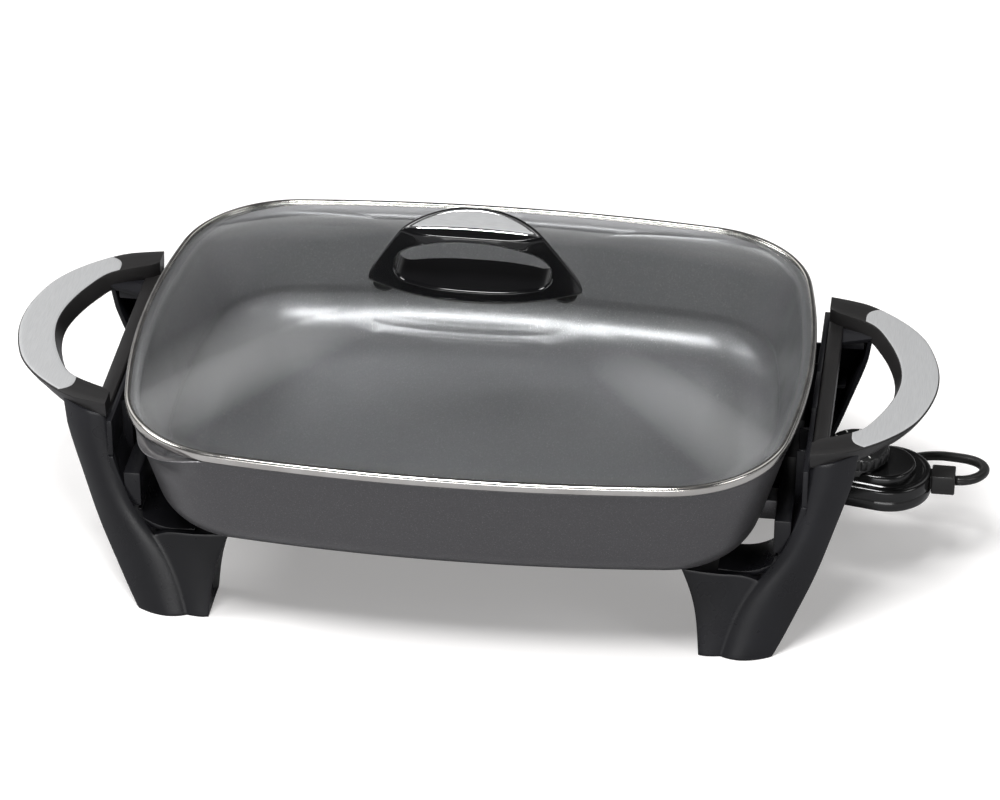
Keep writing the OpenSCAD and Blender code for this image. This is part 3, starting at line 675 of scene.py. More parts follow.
# soft shoulder down to the inner wall
row(5.8, 138.8, 11.5 * 0.99, 0.8, 1); row(6.8, 138.1, 11.5 * 0.97, 0.6, 1); row(7.7, 136.9, 11.5 * 0.93, 0.3, 1); row(8.4, 135.4, 11.5 * 0.86, 0.1, 1)
for z in np.linspace(132.5, 92, 20):
    row(6.5 + (RIM - z) * TD, z, spout(z) * 0.97, 0, 1)
inn = arc_in + 30 * math.cos(rad(DR))
for k in range(17):
    t = rad(-DR - (90 - DR) * k / 16)
    row(inn - 26 * math.cos(t), FLOOR + 26 * (1 + math.sin(t)), 0, 0, 1)
for s in (0.9, 0.75, 0.5, 0.25):
    rows.append([(p[0] * s, p[1] * s, FLOOR) for p in pan_plan(inn, 0)])
    idx.append(1)
v, f = loft(rows)
n = len(rows[0])
mats = [idx[min(i // n + 1, len(idx) - 1)] for i in range((len(rows) - 1) * n)] + [0] * n + [1] * n
pan = new_obj("pan_casting", v, f, True, mats)
# boss for the probe and the lugs for the leg bases, under the pan
lugs = [block("lug", (s * 181.8 - 5.9, t * 48 - 7, 66), (s * 181.8 + 5.9, t * 48 + 7, 80), 1.2, 3) for s in (-1, 1) for t in (-1, 1)]
cyl = []
boss_plan = [(112, -8), (178, -8), (178, 8), (112, 8)]
bossv = []
for x0 in (112.0, 178.0):
    bossv.append([(x0, y, z) for y, z in [(-8, 66), (-8, 58), (-6.6, 56.4), (-5, 56), (5, 56), (6.6, 56.4), (8, 58), (8, 66)]])
ob = new_obj("boss", *loft([[(112, y * 0.9, z + (66 - z) * 0.4) for _, y, z in bossv[0]], [(114, y, z) for _, y, z in bossv[0]], bossv[1]], True, False))
hole = [(178.0, 3.3 * math.cos(t), 63 + 3.3 * math.sin(t)) for t in np.linspace(math.pi / 2, math.pi / 2 + 2 * math.pi, 33)[:-1]]
hr = [hole, [(p[0] - 0.6, p[1] * 0.985, 63 + (p[2] - 63) * 0.985) for p in hole], [(120, p[1] * 0.985, 63 + (p[2] - 63) * 0.985) for p in hole]]
ohole = new_obj("bore", *loft(hr, False, True))
# mouth of the bore: a face ring joining the hole to the boss end
sq = []
for t in np.linspace(math.pi / 2, math.pi / 2 + 2 * math.pi, 33)[:-1]:
    c, s_ = math.cos(t), math.sin(t)
    k = min(8 / max(abs(c), 1e-6), (3.0 if s_ > 0 else 7.0) / max(abs(s_), 1e-6))
    sq.append((178.0, c * k, 63 + s_ * k))
omouth = new_obj("mouth", *loft([sq, hole], False, False))
pan_under = dress(sharp(fix_normals(join("pan_lugs_and_boss", lugs + [ob, ohole, omouth])), 40), m_pan_out)
dress(pan, m_pan_out, m_pan_in)
for o in (pan, pan_under):
    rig.ride(o, "skillet"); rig.slot(o, "pan_coating")
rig.replaces(pan, "pan_body")

# ------------------------------------------------------------------ lid glass and band
FK, RK, GZ, GT = 0.33, 0.975, 179.5, 4.0


def dome(k):
    t = max(RK - k, 0) / (RK - FK)
    return GZ if k <= FK else 144.2 + (GZ - 144.2) * (1 - max(1 - t, 0) ** 1.6)


def glass_plan(k, z, inset=0.0):
    return [(p[0], p[1], z) for p in outline((202.1 - inset) * k, (156.1 - inset) * k, (73.6 - inset) * k, 8.1 * k, 8.2 * k)]


kk = list(np.linspace(0.05, 0.33, 6)) + list(np.linspace(0.36, 0.975, 34))
rings = [glass_plan(k, dome(k) - GT) for k in kk] + [glass_plan(0.994, 140.3), glass_plan(0.999, 140.7), glass_plan(1, 141.3), glass_plan(1, 143.3), glass_plan(0.998, 143.9), glass_plan(0.994, 144.2)]
rings += [glass_plan(k, dome(k)) for k in reversed(kk)]
glass = dress(new_obj("lid_glass_dome", *loft(rings)), m_glass)
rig.ride(glass, "lid"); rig.replaces(glass, "lid_glass"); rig.slot(glass, "clear_glass")

sec = [(3.5, 139.35), (3.5, 140.15), (2.0, 140.25), (1.0, 140.6), (0.85, 141.4), (0.85, 143.3), (1.2, 144.2), (2.2, 144.32), (3.4, 144.3),
       (3.55, 144.6), (3.3, 144.95), (2.4, 145.15), (1.5, 145.1), (0.75, 144.75), (0.25, 144.1), (0.02, 143.2), (0.0, 142), (0.02, 140.9), (0.2, 140.0), (0.6, 139.5), (1.2, 139.3)]
rings = [[(p[0], p[1], z) for p in outline(203 - i, 157 - i, 74 - i, 8.1, 8.2)] for i, z in sec]
band = dress(fix_normals(new_obj("lid_band", *loft(rings, close=True))), m_band)
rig.ride(band, "lid"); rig.replaces(band, "lid_rim_band"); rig.slot(band, "band_steel")


# ------------------------------------------------------------------ knob: a smooth solid from three blended profiles
def poly_sdf(P, Q):
    """Signed distance (inside negative) from points Q to polygon P."""
    A = np.array(P, float)
    B = np.roll(A, -1, axis=0)
    E = B - A
    best = np.full(len(Q), 1e9)
    inside = np.zeros(len(Q), bool)
    for a, b_, e in zip(A, B, E):
        w = Q - a
        t = np.clip((w @ e) / max(e @ e, 1e-12), 0, 1)
        d = w - t[:, None] * e
        best = np.minimum(best, (d ** 2).sum(1))
        c1 = (a[1] <= Q[:, 1]) & (b_[1] > Q[:, 1])
        c2 = (a[1] > Q[:, 1]) & (b_[1] <= Q[:, 1])
        cr = e[0] * w[:, 1] - e[1] * w[:, 0]
        inside ^= (c1 & (cr > 0)) | (c2 & (cr < 0))
    return np.where(inside, -1, 1) * np.sqrt(best)


def smax(a, b_, k):
    """Intersection with a rounded edge of radius about k."""
    u, v_ = np.maximum(a + k, 0), np.maximum(b_ + k, 0)
    return np.minimum(np.maximum(a, b_), -k) + np.sqrt(u * u + v_ * v_)


arch = [(0, 230), (15, 229.6), (28, 228), (37, 225.8), (43, 222.5), (48, 216.5), (53, 209.5), (58, 199.5), (62, 190.5), (66, 179.5)]
opening = [(0, 218.2), (14, 217.6), (26, 215.2), (36, 211), (43, 205), (46.4, 198.6), (46, 193), (42, 189), (30, 188), (0, 187.6)]
arch_line = catmull([(-p[0], p[1]) for p in reversed(arch[1:])] + arch, 6)
arch_poly = [(-72, 170)] + [tuple(p) for p in arch_line] + [(72, 170)]
op_line = catmull(opening + [(-p[0], p[1]) for p in reversed(opening[1:-1])], 6, closed=True)
side_poly = catmull([(-20.2, 170), (-20, 184), (-19.2, 196), (-18.1, 208), (-17.2, 217.5)], 5).tolist() + [(-16.2, 221.8), (7, 229.5)] + catmull([(11.5, 227.5), (13.6, 219), (15, 208), (17.6, 196), (20, 184), (20.2, 170)], 5).tolist()
LR = (65 ** 2 + 20 ** 2) / 40
TILT = math.atan2(6.3, 19)


def knob_field(p):
    front = poly_sdf(arch_poly, p[:, [0, 2]])
    hole_ = -poly_sdf(op_line, p[:, [0, 2]])
    side = poly_sdf(side_poly, p[:, [1, 2]])
    lens = smax(np.hypot(p[:, 0], p[:, 1] + LR - 20) - LR, np.hypot(p[:, 0], p[:, 1] - LR + 20) - LR, 0.8)
    base = 180.5 - p[:, 2]
    f_ = smax(smax(front, side, 1.6), lens, 2.2)
    c_, s_ = math.cos(TILT), math.sin(TILT)
    h_ = (227.18 - p[:, 2]) * c_ + p[:, 1] * s_
    v_ = p[:, 1] * c_ + (p[:, 2] - 227.18) * s_
    cone = (np.hypot(p[:, 0], v_ + 46.1) - 54.1 - 0.45 * h_) * 0.91
    f_ = smax(f_, cone, 1.5)
    f_ = smax(f_, hole_, 1.7)
    return np.maximum(f_, base)


def remesh_field(name, field, lo, hi, voxel, start):
    """Takes a rough closed mesh, remeshes it and moves its points onto the field's zero surface."""
    m = start.modifiers.new("r", "REMESH")
    m.mode = "VOXEL"
    m.voxel_size = voxel * MM
    dg = bpy.context.evaluated_depsgraph_get()
    me = bpy.data.meshes.new_from_object(start.evaluated_get(dg))
    bpy.data.objects.remove(start)
    n_ = len(me.vertices)
    co = np.zeros(n_ * 3)
    me.vertices.foreach_get("co", co)
    p = co.reshape(-1, 3) / MM
    e = 0.05
    for it in range(7):
        f0 = field(p)
        g = np.stack([(field(p + np.array(d) * e) - field(p - np.array(d) * e)) / (2 * e) for d in ((1, 0, 0), (0, 1, 0), (0, 0, 1))], 1)
        gg = np.maximum((g ** 2).sum(1), 0.05)
        p = p - np.clip(f0 / gg, -1.5, 1.5)[:, None] * g * (0.9 if it < 5 else 1.0)
        if it < 4:  # keep the points even while they settle
            me.vertices.foreach_set("co", (p * MM).ravel())
            bm = bmesh.new()
            bm.from_mesh(me)
            bmesh.ops.smooth_vert(bm, verts=bm.verts, factor=0.5, use_axis_x=True, use_axis_y=True, use_axis_z=True)
            bm.to_mesh(me)
            bm.free()
            me.vertices.foreach_get("co", co)
            p = co.reshape(-1, 3) / MM
    me.vertices.foreach_set("co", (p * MM).ravel())
    me.update()
    o = bpy.data.objects.new(name, me)
    col.objects.link(o)
    me.polygons.foreach_set("use_smooth", [True] * len(me.polygons))
    return o


def rough_solid(field, lo, hi, step):
    """Boxy starting mesh of the cells whose middle is inside the field."""
    nx, ny, nz = [int(math.ceil((h - l) / step)) for l, h in zip(lo, hi)]
    X, Y, Z = np.meshgrid(*[l + step * (np.arange(k) + 0.5) for l, k in zip(lo, (nx, ny, nz))], indexing="ij")
    ins = (field(np.stack([X.ravel(), Y.ravel(), Z.ravel()], 1)) < 0).reshape(nx, ny, nz)
    ins = np.pad(ins, 1)
    verts, faces, seen = [], [], {}

    def vid(i, j, k):
        key = (i, j, k)
        if key not in seen:
            seen[key] = len(verts)
            verts.append((lo[0] + (i - 1) * step, lo[1] + (j - 1) * step, lo[2] + (k - 1) * step))
        return seen[key]
    for ax, quads in ((0, ((1, 0, 0), (1, 1, 0), (1, 1, 1), (1, 0, 1))), (1, ((0, 1, 0), (0, 1, 1), (1, 1, 1), (1, 1, 0))), (2, ((0, 0, 1), (1, 0, 1), (1, 1, 1), (0, 1, 1)))):
        nxt = np.roll(ins, -1, axis=ax)
        for sgn, mask in ((1, ins & ~nxt), (-1, ~ins & nxt)):
            for i, j, k in np.argwhere(mask):
                q = [vid(i + a, j + b_, k + c) for a, b_, c in quads]
                faces.append(tuple(q if sgn > 0 else reversed(q)))
    return new_obj("rough", verts, faces, False)


vox = 1.1 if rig.quick() else 0.75
knob = remesh_field("knob_arch", knob_field, None, None, vox, rough_solid(knob_field, (-68, -23, 180.5), (68, 23, 232), 1.5))
dress(knob, m_gloss)
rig.ride(knob, "lid"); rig.replaces(knob, "lid_knob"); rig.slot(knob, "gloss_black")

# badge plate: blank crescent with a fine raised border, lying in the sloping face
TILT = math.atan2(6.3, 19)


def crescent(g):
    R = 52.7 - g
    pts = []
    yb = -13 + g
    c = -46.1
    a0 = math.asin((yb - c) / R)
    for a in np.linspace(a0, math.pi - a0, 61):
        pts.append((R * math.cos(a), c + R * math.sin(a)))
    pts += [(x, yb + 1.9 * (1 - (x / abs(pts[-1][0])) ** 2)) for x in np.linspace(pts[-1][0], -pts[-1][0], 41)[1:-1]]
    return resample(pts, count=160, closed=True)


def on_face(p, h):
    c, s = math.cos(TILT), math.sin(TILT)
    return (p[0], p[1] * c - h * s, 227.18 + p[1] * s + h * c)


c0, c1, c2, c3 = crescent(0.5), crescent(0.75), crescent(2.0), crescent(2.25)
rings = [[on_face(p, -0.5) for p in c0], [on_face(p, 0.12) for p in c0], [on_face(p, 0.3) for p in c1], [on_face(p, 0.3) for p in c2], [on_face(p, 0.1) for p in c3]]
rim_ = new_obj("badge_border_ring", *loft(rings, True, False))
dress(sharp(fix_normals(rim_), 40), m_badge_rim)
rings = [[on_face(p * s, 0.1 + 0.22 * (1 - s ** 3)) for p in c3] for s in (1.0, 0.97, 0.9, 0.75, 0.55, 0.3, 0.1)]
rings = [[on_face((p[0] * s, -3 + (p[1] + 3) * s), 0.1 + 0.16 * (1 - s ** 4)) for p in c3] for s in (1.0, 0.97, 0.9, 0.75, 0.55, 0.3, 0.1)]
badge = new_obj("badge_plate", *loft(rings, False, True))
dress(badge, m_badge)
for o in (rim_, badge):
    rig.ride(o, "lid"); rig.slot(o, "trim_metal")
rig.replaces(badge, "knob_badge")

# gasket under the knob's foot
def lens_plan(g, z, n_=60):
    pts = []
    R = LR - g
    a0 = math.asin((LR - 20) / R)
    for a in np.linspace(a0, math.pi - a0, n_):
        pts.append((R * math.cos(a), -(LR - 20) + R * math.sin(a), z))
    for a in np.linspace(math.pi + a0, 2 * math.pi - a0, n_)[1:-1]:
        pts.append((R * math.cos(a), (LR - 20) + R * math.sin(a), z))
    return pts


rings = [lens_plan(0.9, 179.5), lens_plan(0.4, 179.7), lens_plan(0.3, 180.0), lens_plan(0.4, 180.4), lens_plan(0.9, 180.5)]
gasket = dress(fix_normals(new_obj("knob_seal", *loft(rings))), m_gasket)
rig.ride(gasket, "lid"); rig.replaces(gasket, "knob_gasket"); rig.slot(gasket, "gasket_rubber")

# ------------------------------------------------------------------ handles
grip_out = [(207, 89), (218, 86.5), (229, 83), (239, 76.8), (250, 67.5), (259.5, 57), (267, 45), (272.5, 30), (276, 14), (277, 0)]
grip_in = [(207, 75.5), (211, 71.5), (220, 67), (229, 62), (236, 56), (244.5, 40), (250, 25), (253, 12), (254, 0)]
mir = lambda L_: L_ + [(p[0], -p[1]) for p in reversed(L_[:-1])]
NG = 120
go = resample(catmull(mir(grip_out), 8), count=NG)
gi = resample(catmull(mir(grip_in), 8), count=NG)


def grip_rings():
    rings = []
    for o_, i_ in zip(go, gi):
        w = o_ - i_
        L = np.linalg.norm(w)
        u = w / L

        def at(d, z):  # d from the inner edge outwards
            q = i_ + u * d
            return (q[0], q[1], z)
        uc = 4.5 * min(1, max(0, (o_[0] - 222) / 30))  # the outer side is cut back underneath
        ins = 3.2 * min(1, max(0, (i_[0] - 215) / 25))
        rings.append([at(0.0, 135.2), at(0.25, 135.75), at(0.8, 136), at(L * 0.35, 136), at(L * 0.65, 136), at(L - 0.8, 136), at(L - 0.25, 135.75), at(L, 135.2),
                      at(L - 0.6 - uc * 0.2, 132.6), at(L - 1.0 - uc * 0.55, 129.6), at(L - 1.6 - uc, 126.4), at(L - 2.8 - uc, 124.9), at(L - 4.2 - uc, 124.4),
                      at(L * 0.4, 124.4), at(2.2 - ins, 124.4), at(0.9 - ins, 124.8), at(0.2 - ins, 126), at(-ins * 0.55, 130)])
    return rings


def build_handle(name):
    g_ = new_obj("g", *loft(grip_rings()))
    parts = [fix_normals(g_)]
    parts.append(block("bar", (207.0, -76.5, 116.5), (216, 76.5, 127), 1.4, 3))
    for t in (-1, 1):
        parts.append(block("post", (207.2, t * 79 - 9, 116.5) if t > 0 else (207.2, t * 79 - 4, 116.5), (216, t * 79 + 4, 125) if t > 0 else (216, t * 79 + 9, 125), 1.2, 2))
    return sharp(join(name, parts), 40)


handle_r = dress(build_handle("right_grip"), m_tip)
handle_l = dress(mirrored("left_grip", handle_r, 0), m_tip)


def build_trim(name):
    """Brushed inlay following the grip between its tips, with curved ends."""
    lo_i, hi_i = None, None
    NT, NW = 96, 10
    rows_ = []
    so = np.array([i for i, p in enumerate(go) if p[0] >= 237.6])
    a, b_ = so[0], so[-1]
    for s in np.linspace(0, 1, NT):
        row_ = []
        for w in np.linspace(0, 1, NW):
            bulge = 3.6 * math.sin(math.pi * w) - 1.2 * (1 - w)
            edge = max(0, 1 - min(s, 1 - s) * 9)
            ii = a + (b_ - a) * s + (-1 if s < 0.5 else 1) * bulge * edge * 0.55
            i0 = int(max(0, min(NG - 1, math.floor(ii))))
            fr = ii - i0
            o_ = go[i0] * (1 - fr) + go[i0 + 1] * fr
            i_ = gi[i0] * (1 - fr) + gi[i0 + 1] * fr
            L = np.linalg.norm(o_ - i_)
            d = 0.75 + (L - 1.5) * w
            q = i_ + (o_ - i_) / L * d
            row_.append(q)
        rows_.append(row_)
    top, low = [], []
    verts, faces = [], []
    for r_ in rows_:
        for q in r_:
            verts.append((q[0], q[1], 136.22))
    nb = len(verts)
    for r_ in rows_:
        for q in r_:
            verts.append((q[0], q[1], 135.9))
    for j in range(NT - 1):
        for i in range(NW - 1):
            a_ = j * NW + i
            faces.append((a_, a_ + 1, a_ + NW + 1, a_ + NW))
            faces.append((nb + a_, nb + a_ + NW, nb + a_ + NW + 1, nb + a_ + 1))
    edge = [j * NW for j in range(NT)] + [(NT - 1) * NW + i for i in range(1, NW)] + [j * NW + NW - 1 for j in range(NT - 2, -1, -1)] + [i for i in range(NW - 2, 0, -1)]
    for k in range(len(edge)):
        p_, q_ = edge[k], edge[(k + 1) % len(edge)]
        faces.append((p_, q_, nb + q_, nb + p_))
    o = fix_normals(new_obj(name, verts, faces))
    bevel_ends(o, 0.12, 2, 60)
    return o


trim_r = dress(build_trim("right_trim"), m_trim)
trim_l = dress(mirrored("left_trim", trim_r, 0), m_trim)

# ------------------------------------------------------------------ legs
band_in = [(160, 0), (163.5, 15), (168.5, 30), (175, 43), (183, 54.5), (190, 62), (194.5, 70), (198, 80), (201.5, 92), (204.5, 106), (206, 118), (206.6, 126.5)]
band_ou = [(190, 0), (196.5, 13), (203.8, 31), (209.2, 43), (213.2, 53), (216.2, 62), (219, 71), (222, 81), (225.5, 93), (230, 106), (233, 118), (234.6, 126.5)]
panel_in = [(147, 0), (146.2, 10), (144, 28), (140.5, 41), (135, 54)]
panel_top = [(135, 54), (156, 53), (172, 52.6), (183, 54.5)]
LEAN = rad(7.9)


def even(line, rounds=60):
    """Relaxes a line towards a smooth sweep, keeping its ends."""
    L = np.array(line, float)
    for _ in range(rounds):
        L[1:-1] = 0.5 * L[1:-1] + 0.25 * (L[:-2] + L[2:])
    return L



def lean(x, d, z):
    """From the leg's own front plane (d = depth behind it) to the model, for the front right leg."""
    z = z / math.cos(LEAN)
    return (x, -107 + d * math.cos(LEAN) + z * math.sin(LEAN), z * math.cos(LEAN) - d * math.sin(LEAN))


def build_leg(name):
    full_i = even(resample(catmull(band_in, 8), count=68))
    full_o = even(resample(catmull(band_ou, 8), count=68))
    cut = 27
    bi, bo = full_i, full_o
    low_i = bi[:cut + 1]
    NB = 21
    verts, faces = [], []
    for j_, (a, c) in enumerate(zip(bi, bo)):
        up = j_ / 68
        for s in np.linspace(0, 1, NB):
            q = a + (c - a) * s
            d = 3.0 * max(0, 1 - s / 0.4) ** 2 + (6.4 + 2.4 * up) * max(0, (s - 0.36) / 0.64) ** 1.9
            zz = min(max(q[1] / 62.0, 0), 1)
            d += 3.0 * (1 - (1 - zz) ** 2) - 1.0
            rise = 6.8 * s * max(0, (up - 0.93) / 0.07)
            verts.append([q[0], d, q[1] + rise])
    nrow = len(bi)
    for j in range(nrow - 1):
        for i in range(NB - 1):
            k = j * NB + i
            faces.append((k, k + 1, k + NB + 1, k + NB))
    # lower inner panel, set back a little behind the band's crease
    crease = low_i
    inner = even(resample(catmull(panel_in, 8), count=cut), 20)
    ptop = panel_top[:3] + [tuple(low_i[-1])]
    topl = resample(catmull(ptop, 8), count=16)
    NP = 17
    base = len(verts)
    for j in range(cut + 1):
        t = j / cut
        for i in range(NP):
            s = i / (NP - 1)
            bl = (1 - s) * inner[j] + s * crease[j]
            bt = (1 - t) * (np.array(panel_in[0]) * (1 - s) + np.array(band_in[0]) * s) + t * topl[i]
            cc = (1 - s) * (1 - t) * inner[0] + s * (1 - t) * crease[0] + (1 - s) * t * inner[-1] + s * t * crease[-1]
            q = bl + bt - cc
            if i == NP - 1:
                q = crease[j]
            zz = min(max(q[1] / 62.0, 0), 1)
            d = 1.6 + 1.4 * s ** 2 + 1.2 * (1 - s) ** 4 + 3.0 * (1 - (1 - zz) ** 2) - 1.0
            verts.append([q[0], d, q[1]])
    for j in range(cut):
        for i in range(NP - 1):
            k = base + j * NP + i
            faces.append((k, k + 1, k + NP + 1, k + NP))
    me_v = [lean(x, d, z) for x, d, z in verts]
    o = new_obj(name, me_v, faces)
    bm = bmesh.new()
    bm.from_mesh(o.data)
    bmesh.ops.remove_doubles(bm, verts=bm.verts, dist=0.00005)
    # turn the outer boundary back to make the side walls, then give the skin its thickness
    back_dir = Vector((0, math.cos(LEAN), -math.sin(LEAN)))
    bmesh.ops.recalc_face_normals(bm, faces=bm.faces)
    bound = [e for e in bm.edges if len(e.link_faces) == 1]
    r = bmesh.ops.extrude_edge_only(bm, edges=bound)
    nv = [g for g in r["geom"] if isinstance(g, bmesh.types.BMVert)]
    for v_ in nv:
        v_.co += back_dir * 1.2 * MM
    ne = [g for g in r["geom"] if isinstance(g, bmesh.types.BMEdge) and len(g.link_faces) == 1]
    r = bmesh.ops.extrude_edge_only(bm, edges=ne)
    nv = [g for g in r["geom"] if isinstance(g, bmesh.types.BMVert)]
    for v_ in nv:
        # bring every wall back to the same plane behind the leg
        depth = (v_.co.y / MM + 107 - max(v_.co.z / MM, 0) * math.tan(LEAN)) * math.cos(LEAN)
        v_.co += back_dir * (33.6 - depth) * MM
    for v_ in bm.verts:
        if v_.co.z < 0:
            v_.co.z = 0
    bmesh.ops.recalc_face_normals(bm, faces=bm.faces)
    bm.to_mesh(o.data)
    bm.free()
    sharp(o, 38)
    sol = o.modifiers.new("wall", "SOLIDIFY")
    sol.thickness = 0.0026
    sol.offset = -1
    bv = o.modifiers.new("edge", "BEVEL")
    bv.width = 0.0006
    bv.segments = 2
    bv.limit_method = "ANGLE"
    bv.angle_limit = rad(38)
    return o


def bake_mods(o):
    dg = bpy.context.evaluated_depsgraph_get()
    me = bpy.data.meshes.new_from_object(o.evaluated_get(dg))
    o.modifiers.clear()
    o.data = me
    return o


leg_fr = bake_mods(build_leg("leg_a"))
bm = bmesh.new()
bm.from_mesh(leg_fr.data)
for v_ in bm.verts:
    v_.co.z = max(v_.co.z, 0)
bm.to_mesh(leg_fr.data)
bm.free()


def build_base(name, gap):
    a = bpy.data.objects.new("a", leg_fr.data.copy()); col.objects.link(a)
    c = mirrored("b", a, 1)
    parts = [a, c]
    # cross-member, a channel with ribs, and gussets to the legs
    if gap:
        parts += [block("m", (188, -90, 66), (198, -20.2, 89), 0.9, 2), block("m", (188, 20.2, 66), (198, 90, 89), 0.9, 2), block("m", (188, -20.6, 76.4), (198, 20.6, 89), 0.6, 2)]
    else:
        parts += [block("m", (188, -90, 66), (198, 90, 89), 0.9, 2)]
    if gap:
        parts += [block("apr", (203.4, -90, 66), (206.6, -20.2, 124.4), 0.6, 2), block("apr", (203.4, 20.2, 66), (206.6, 90, 124.4), 0.6, 2), block("apr", (203.4, -20.6, 76.4), (206.6, 20.6, 124.4), 0.5, 2)]
    else:
        parts += [block("apr", (203.4, -90, 96), (206.6, 90, 124.4), 0.6, 2)]
    shelf_in = catmull([(203.4, 100), (201.5, 92), (198, 80), (193, 66), (188, 59.5), (181, 55), (172, 52.5), (156, 53)], 5)
    shelf_out = catmull([(156, 50), (172.2, 49.5), (182.2, 52), (190.2, 57), (196, 64.2), (201.2, 79), (204.8, 91), (206.6, 100)], 5)
    strip = [tuple(q) for q in np.vstack([shelf_in, shelf_out])]
    for lo_, hi_ in (((-91, -62), (62, 91)) if gap else ((-91, 91),)):
        parts.append(prism("sh", strip, lo_, hi_, 0.4, 2, axis="y"))
    for y_ in (-60, -36, 36, 60):
        parts.append(block("fin", (197.6, y_ - 1, 70), (204, y_ + 1, 120), 0.4, 1))
    for t in (-1, 1):
        parts.append(block("top", (206.8, t * 70 - 13, 119), (229.5, t * 70 + 13, 124.4), 0.6, 2))
        parts.append(block("gus", (189, t * 80 - 8, 60), (208, t * 80 + 8, 63), 0.5, 2))
        parts.append(block("rib", (200, t * 77 - 10, 84), (219, t * 77 + 10, 86.4), 0.4, 2))
        parts.append(block("rib", (152, t * 80 - 12, 32), (196, t * 80 + 12, 34.4), 0.4, 2))
    return sharp(join(name, parts), 38)


base_r = dress(build_base("right_legs", True), m_leg)
base_l0 = build_base("tmp_l", False)
base_l = dress(mirrored("left_legs", base_l0, 0), m_leg)
bpy.data.objects.remove(base_l0)
bpy.data.objects.remove(leg_fr)
for o, nd, sl in ((handle_r, "right_handle", "satin_black"), (handle_l, "left_handle", "satin_black"), (trim_r, "right_handle_trim", "trim_metal"), (trim_l, "left_handle_trim", "trim_metal"),
                  (base_r, "right_leg_base", "satin_black"), (base_l, "left_leg_base", "satin_black")):
    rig.ride(o, "skillet"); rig.replaces(o, nd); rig.slot(o, sl)


# ------------------------------------------------------------------ heat control
def case_outline(g, n_=24):
    pts = [(203 + g, -18 + g)]
    a0 = math.asin((26.3 - 0.8) / 26.3)
    for a in np.linspace(-math.pi / 2 - 0.16, math.pi / 2 + 0.16, 2 * n_ + 1):
        pts.append((249.5 + (26.3 - g) * math.cos(a), (26.3 - g) * math.sin(a)))
    pts.append((203 + g, 18 - g))
    return pts


def dense(pts, step=2.0):
    return [tuple(p) for p in resample(pts, step=step, closed=True)]


def crown(name, specs, plan_fn, close_bottom=True):
    rings = []
    for g, z in specs:
        rings.append([(p[0], p[1], z) for p in plan_fn(g)])
    return fix_normals(new_obj(name, *loft(rings, close_bottom, True)))


def case_ring(g):
    return resample(case_outline(g), count=160, closed=True)


lower = crown("control_case_bottom", [(2.6, 57.6), (1.2, 57.75), (0.35, 58.3), (0, 59.2), (0, 64.4), (0.25, 64.7), (0.25, 65.0)], case_ring)
dress(sharp(lower, 40), m_case)
upper_parts = [crown("u", [(0.25, 65.0), (0.25, 65.3), (0, 65.6), (0, 70.6), (0.3, 71.6), (1.0, 72.3), (2.1, 72.6), (3.6, 72.6), (4.2, 72.3), (4.8, 72.3), (5.4, 72.8)], case_ring)]


def hump_ring(s, z):
    """Bow-shaped island: pointed towards the cord, open towards the dial."""
    pts = []
    for a in np.linspace(0, 2 * math.pi, 96, endpoint=False):
        c, s_ = math.cos(a), math.sin(a)
        rx = (20.0 if c > 0 else 22.0) * s
        ry = 19.0 * s
        x = 247 + rx * abs(c) ** 0.9 * (1 if c > 0 else -1)
        y = ry * abs(s_) ** (1.15 if c > 0 else 0.8) * (1 if s_ > 0 else -1)
        pts.append((x, y, z))
    return pts


hump = fix_normals(new_obj("h", *loft([hump_ring(1.0, 71.9), hump_ring(0.99, 73.4), hump_ring(0.97, 75.4), hump_ring(0.95, 76.6), hump_ring(0.92, 77.2), hump_ring(0.88, 77.4), hump_ring(0.84, 77.3), hump_ring(0.8, 77.1), hump_ring(0.3, 77.1)])))
ped = []
for r, z in ((15.8, 72), (15.6, 74), (15.3, 78.6), (14.8, 79.7), (13.6, 80.1), (6, 80.1)):
    ped.append([(231 + r * math.cos(a), r * math.sin(a), z) for a in np.linspace(0, 2 * math.pi, 64, endpoint=False)])
ped = fix_normals(new_obj("p", *loft(ped)))
upper = dress(sharp(join("control_case_top", upper_parts + [hump, ped]), 32), m_case)
for o, nd in ((lower, "control_case_lower"), (upper, "control_case_upper")):
    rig.ride(o, "heat_control"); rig.replaces(o, nd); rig.slot(o, "gloss_black")

# dial: fluted edge, domed face, scale marks and numbers
rings = []
for r, z, fl in ((17.4, 80.6, 0), (18.6, 80.8, 0.3), (19.0, 81.4, 0.8), (19.0, 85.6, 0.8), (18.7, 86.6, 0.5), (18.0, 87.4, 0.15), (17.0, 87.9, 0), (15.5, 88.0, 0), (8, 87.9, 0), (3, 87.9, 0)):
    rings.append([(231 + (r - fl * (0.5 - 0.5 * math.cos(24 * a)) ** 2) * math.cos(a), (r - fl * (0.5 - 0.5 * math.cos(24 * a)) ** 2) * math.sin(a), z) for a in np.linspace(0, 2 * math.pi, 288, endpoint=False)])
dial = dress(sharp(fix_normals(new_obj("dial_knob", *loft(rings))), 45), m_dial)
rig.ride(dial, "dial"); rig.replaces(dial, "temperature_dial"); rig.slot(dial, "dial_black")
marks = []
for k in range(9):
    a = rad(-30 + 30 * k + 90)
    r0, r1, hw = 14.2, 16.6, 0.35
    u = np.array([math.cos(a), math.sin(a)]); w = np.array([-u[1], u[0]])
    c = np.array([231.0, 0])
    quad = [c + u * r0 - w * hw, c + u * r1 - w * hw, c + u * r1 + w * hw, c + u * r0 + w * hw]
    marks.append(prism("mk", [tuple(q) for q in quad], 87.8, 88.12, 0.08, 1))
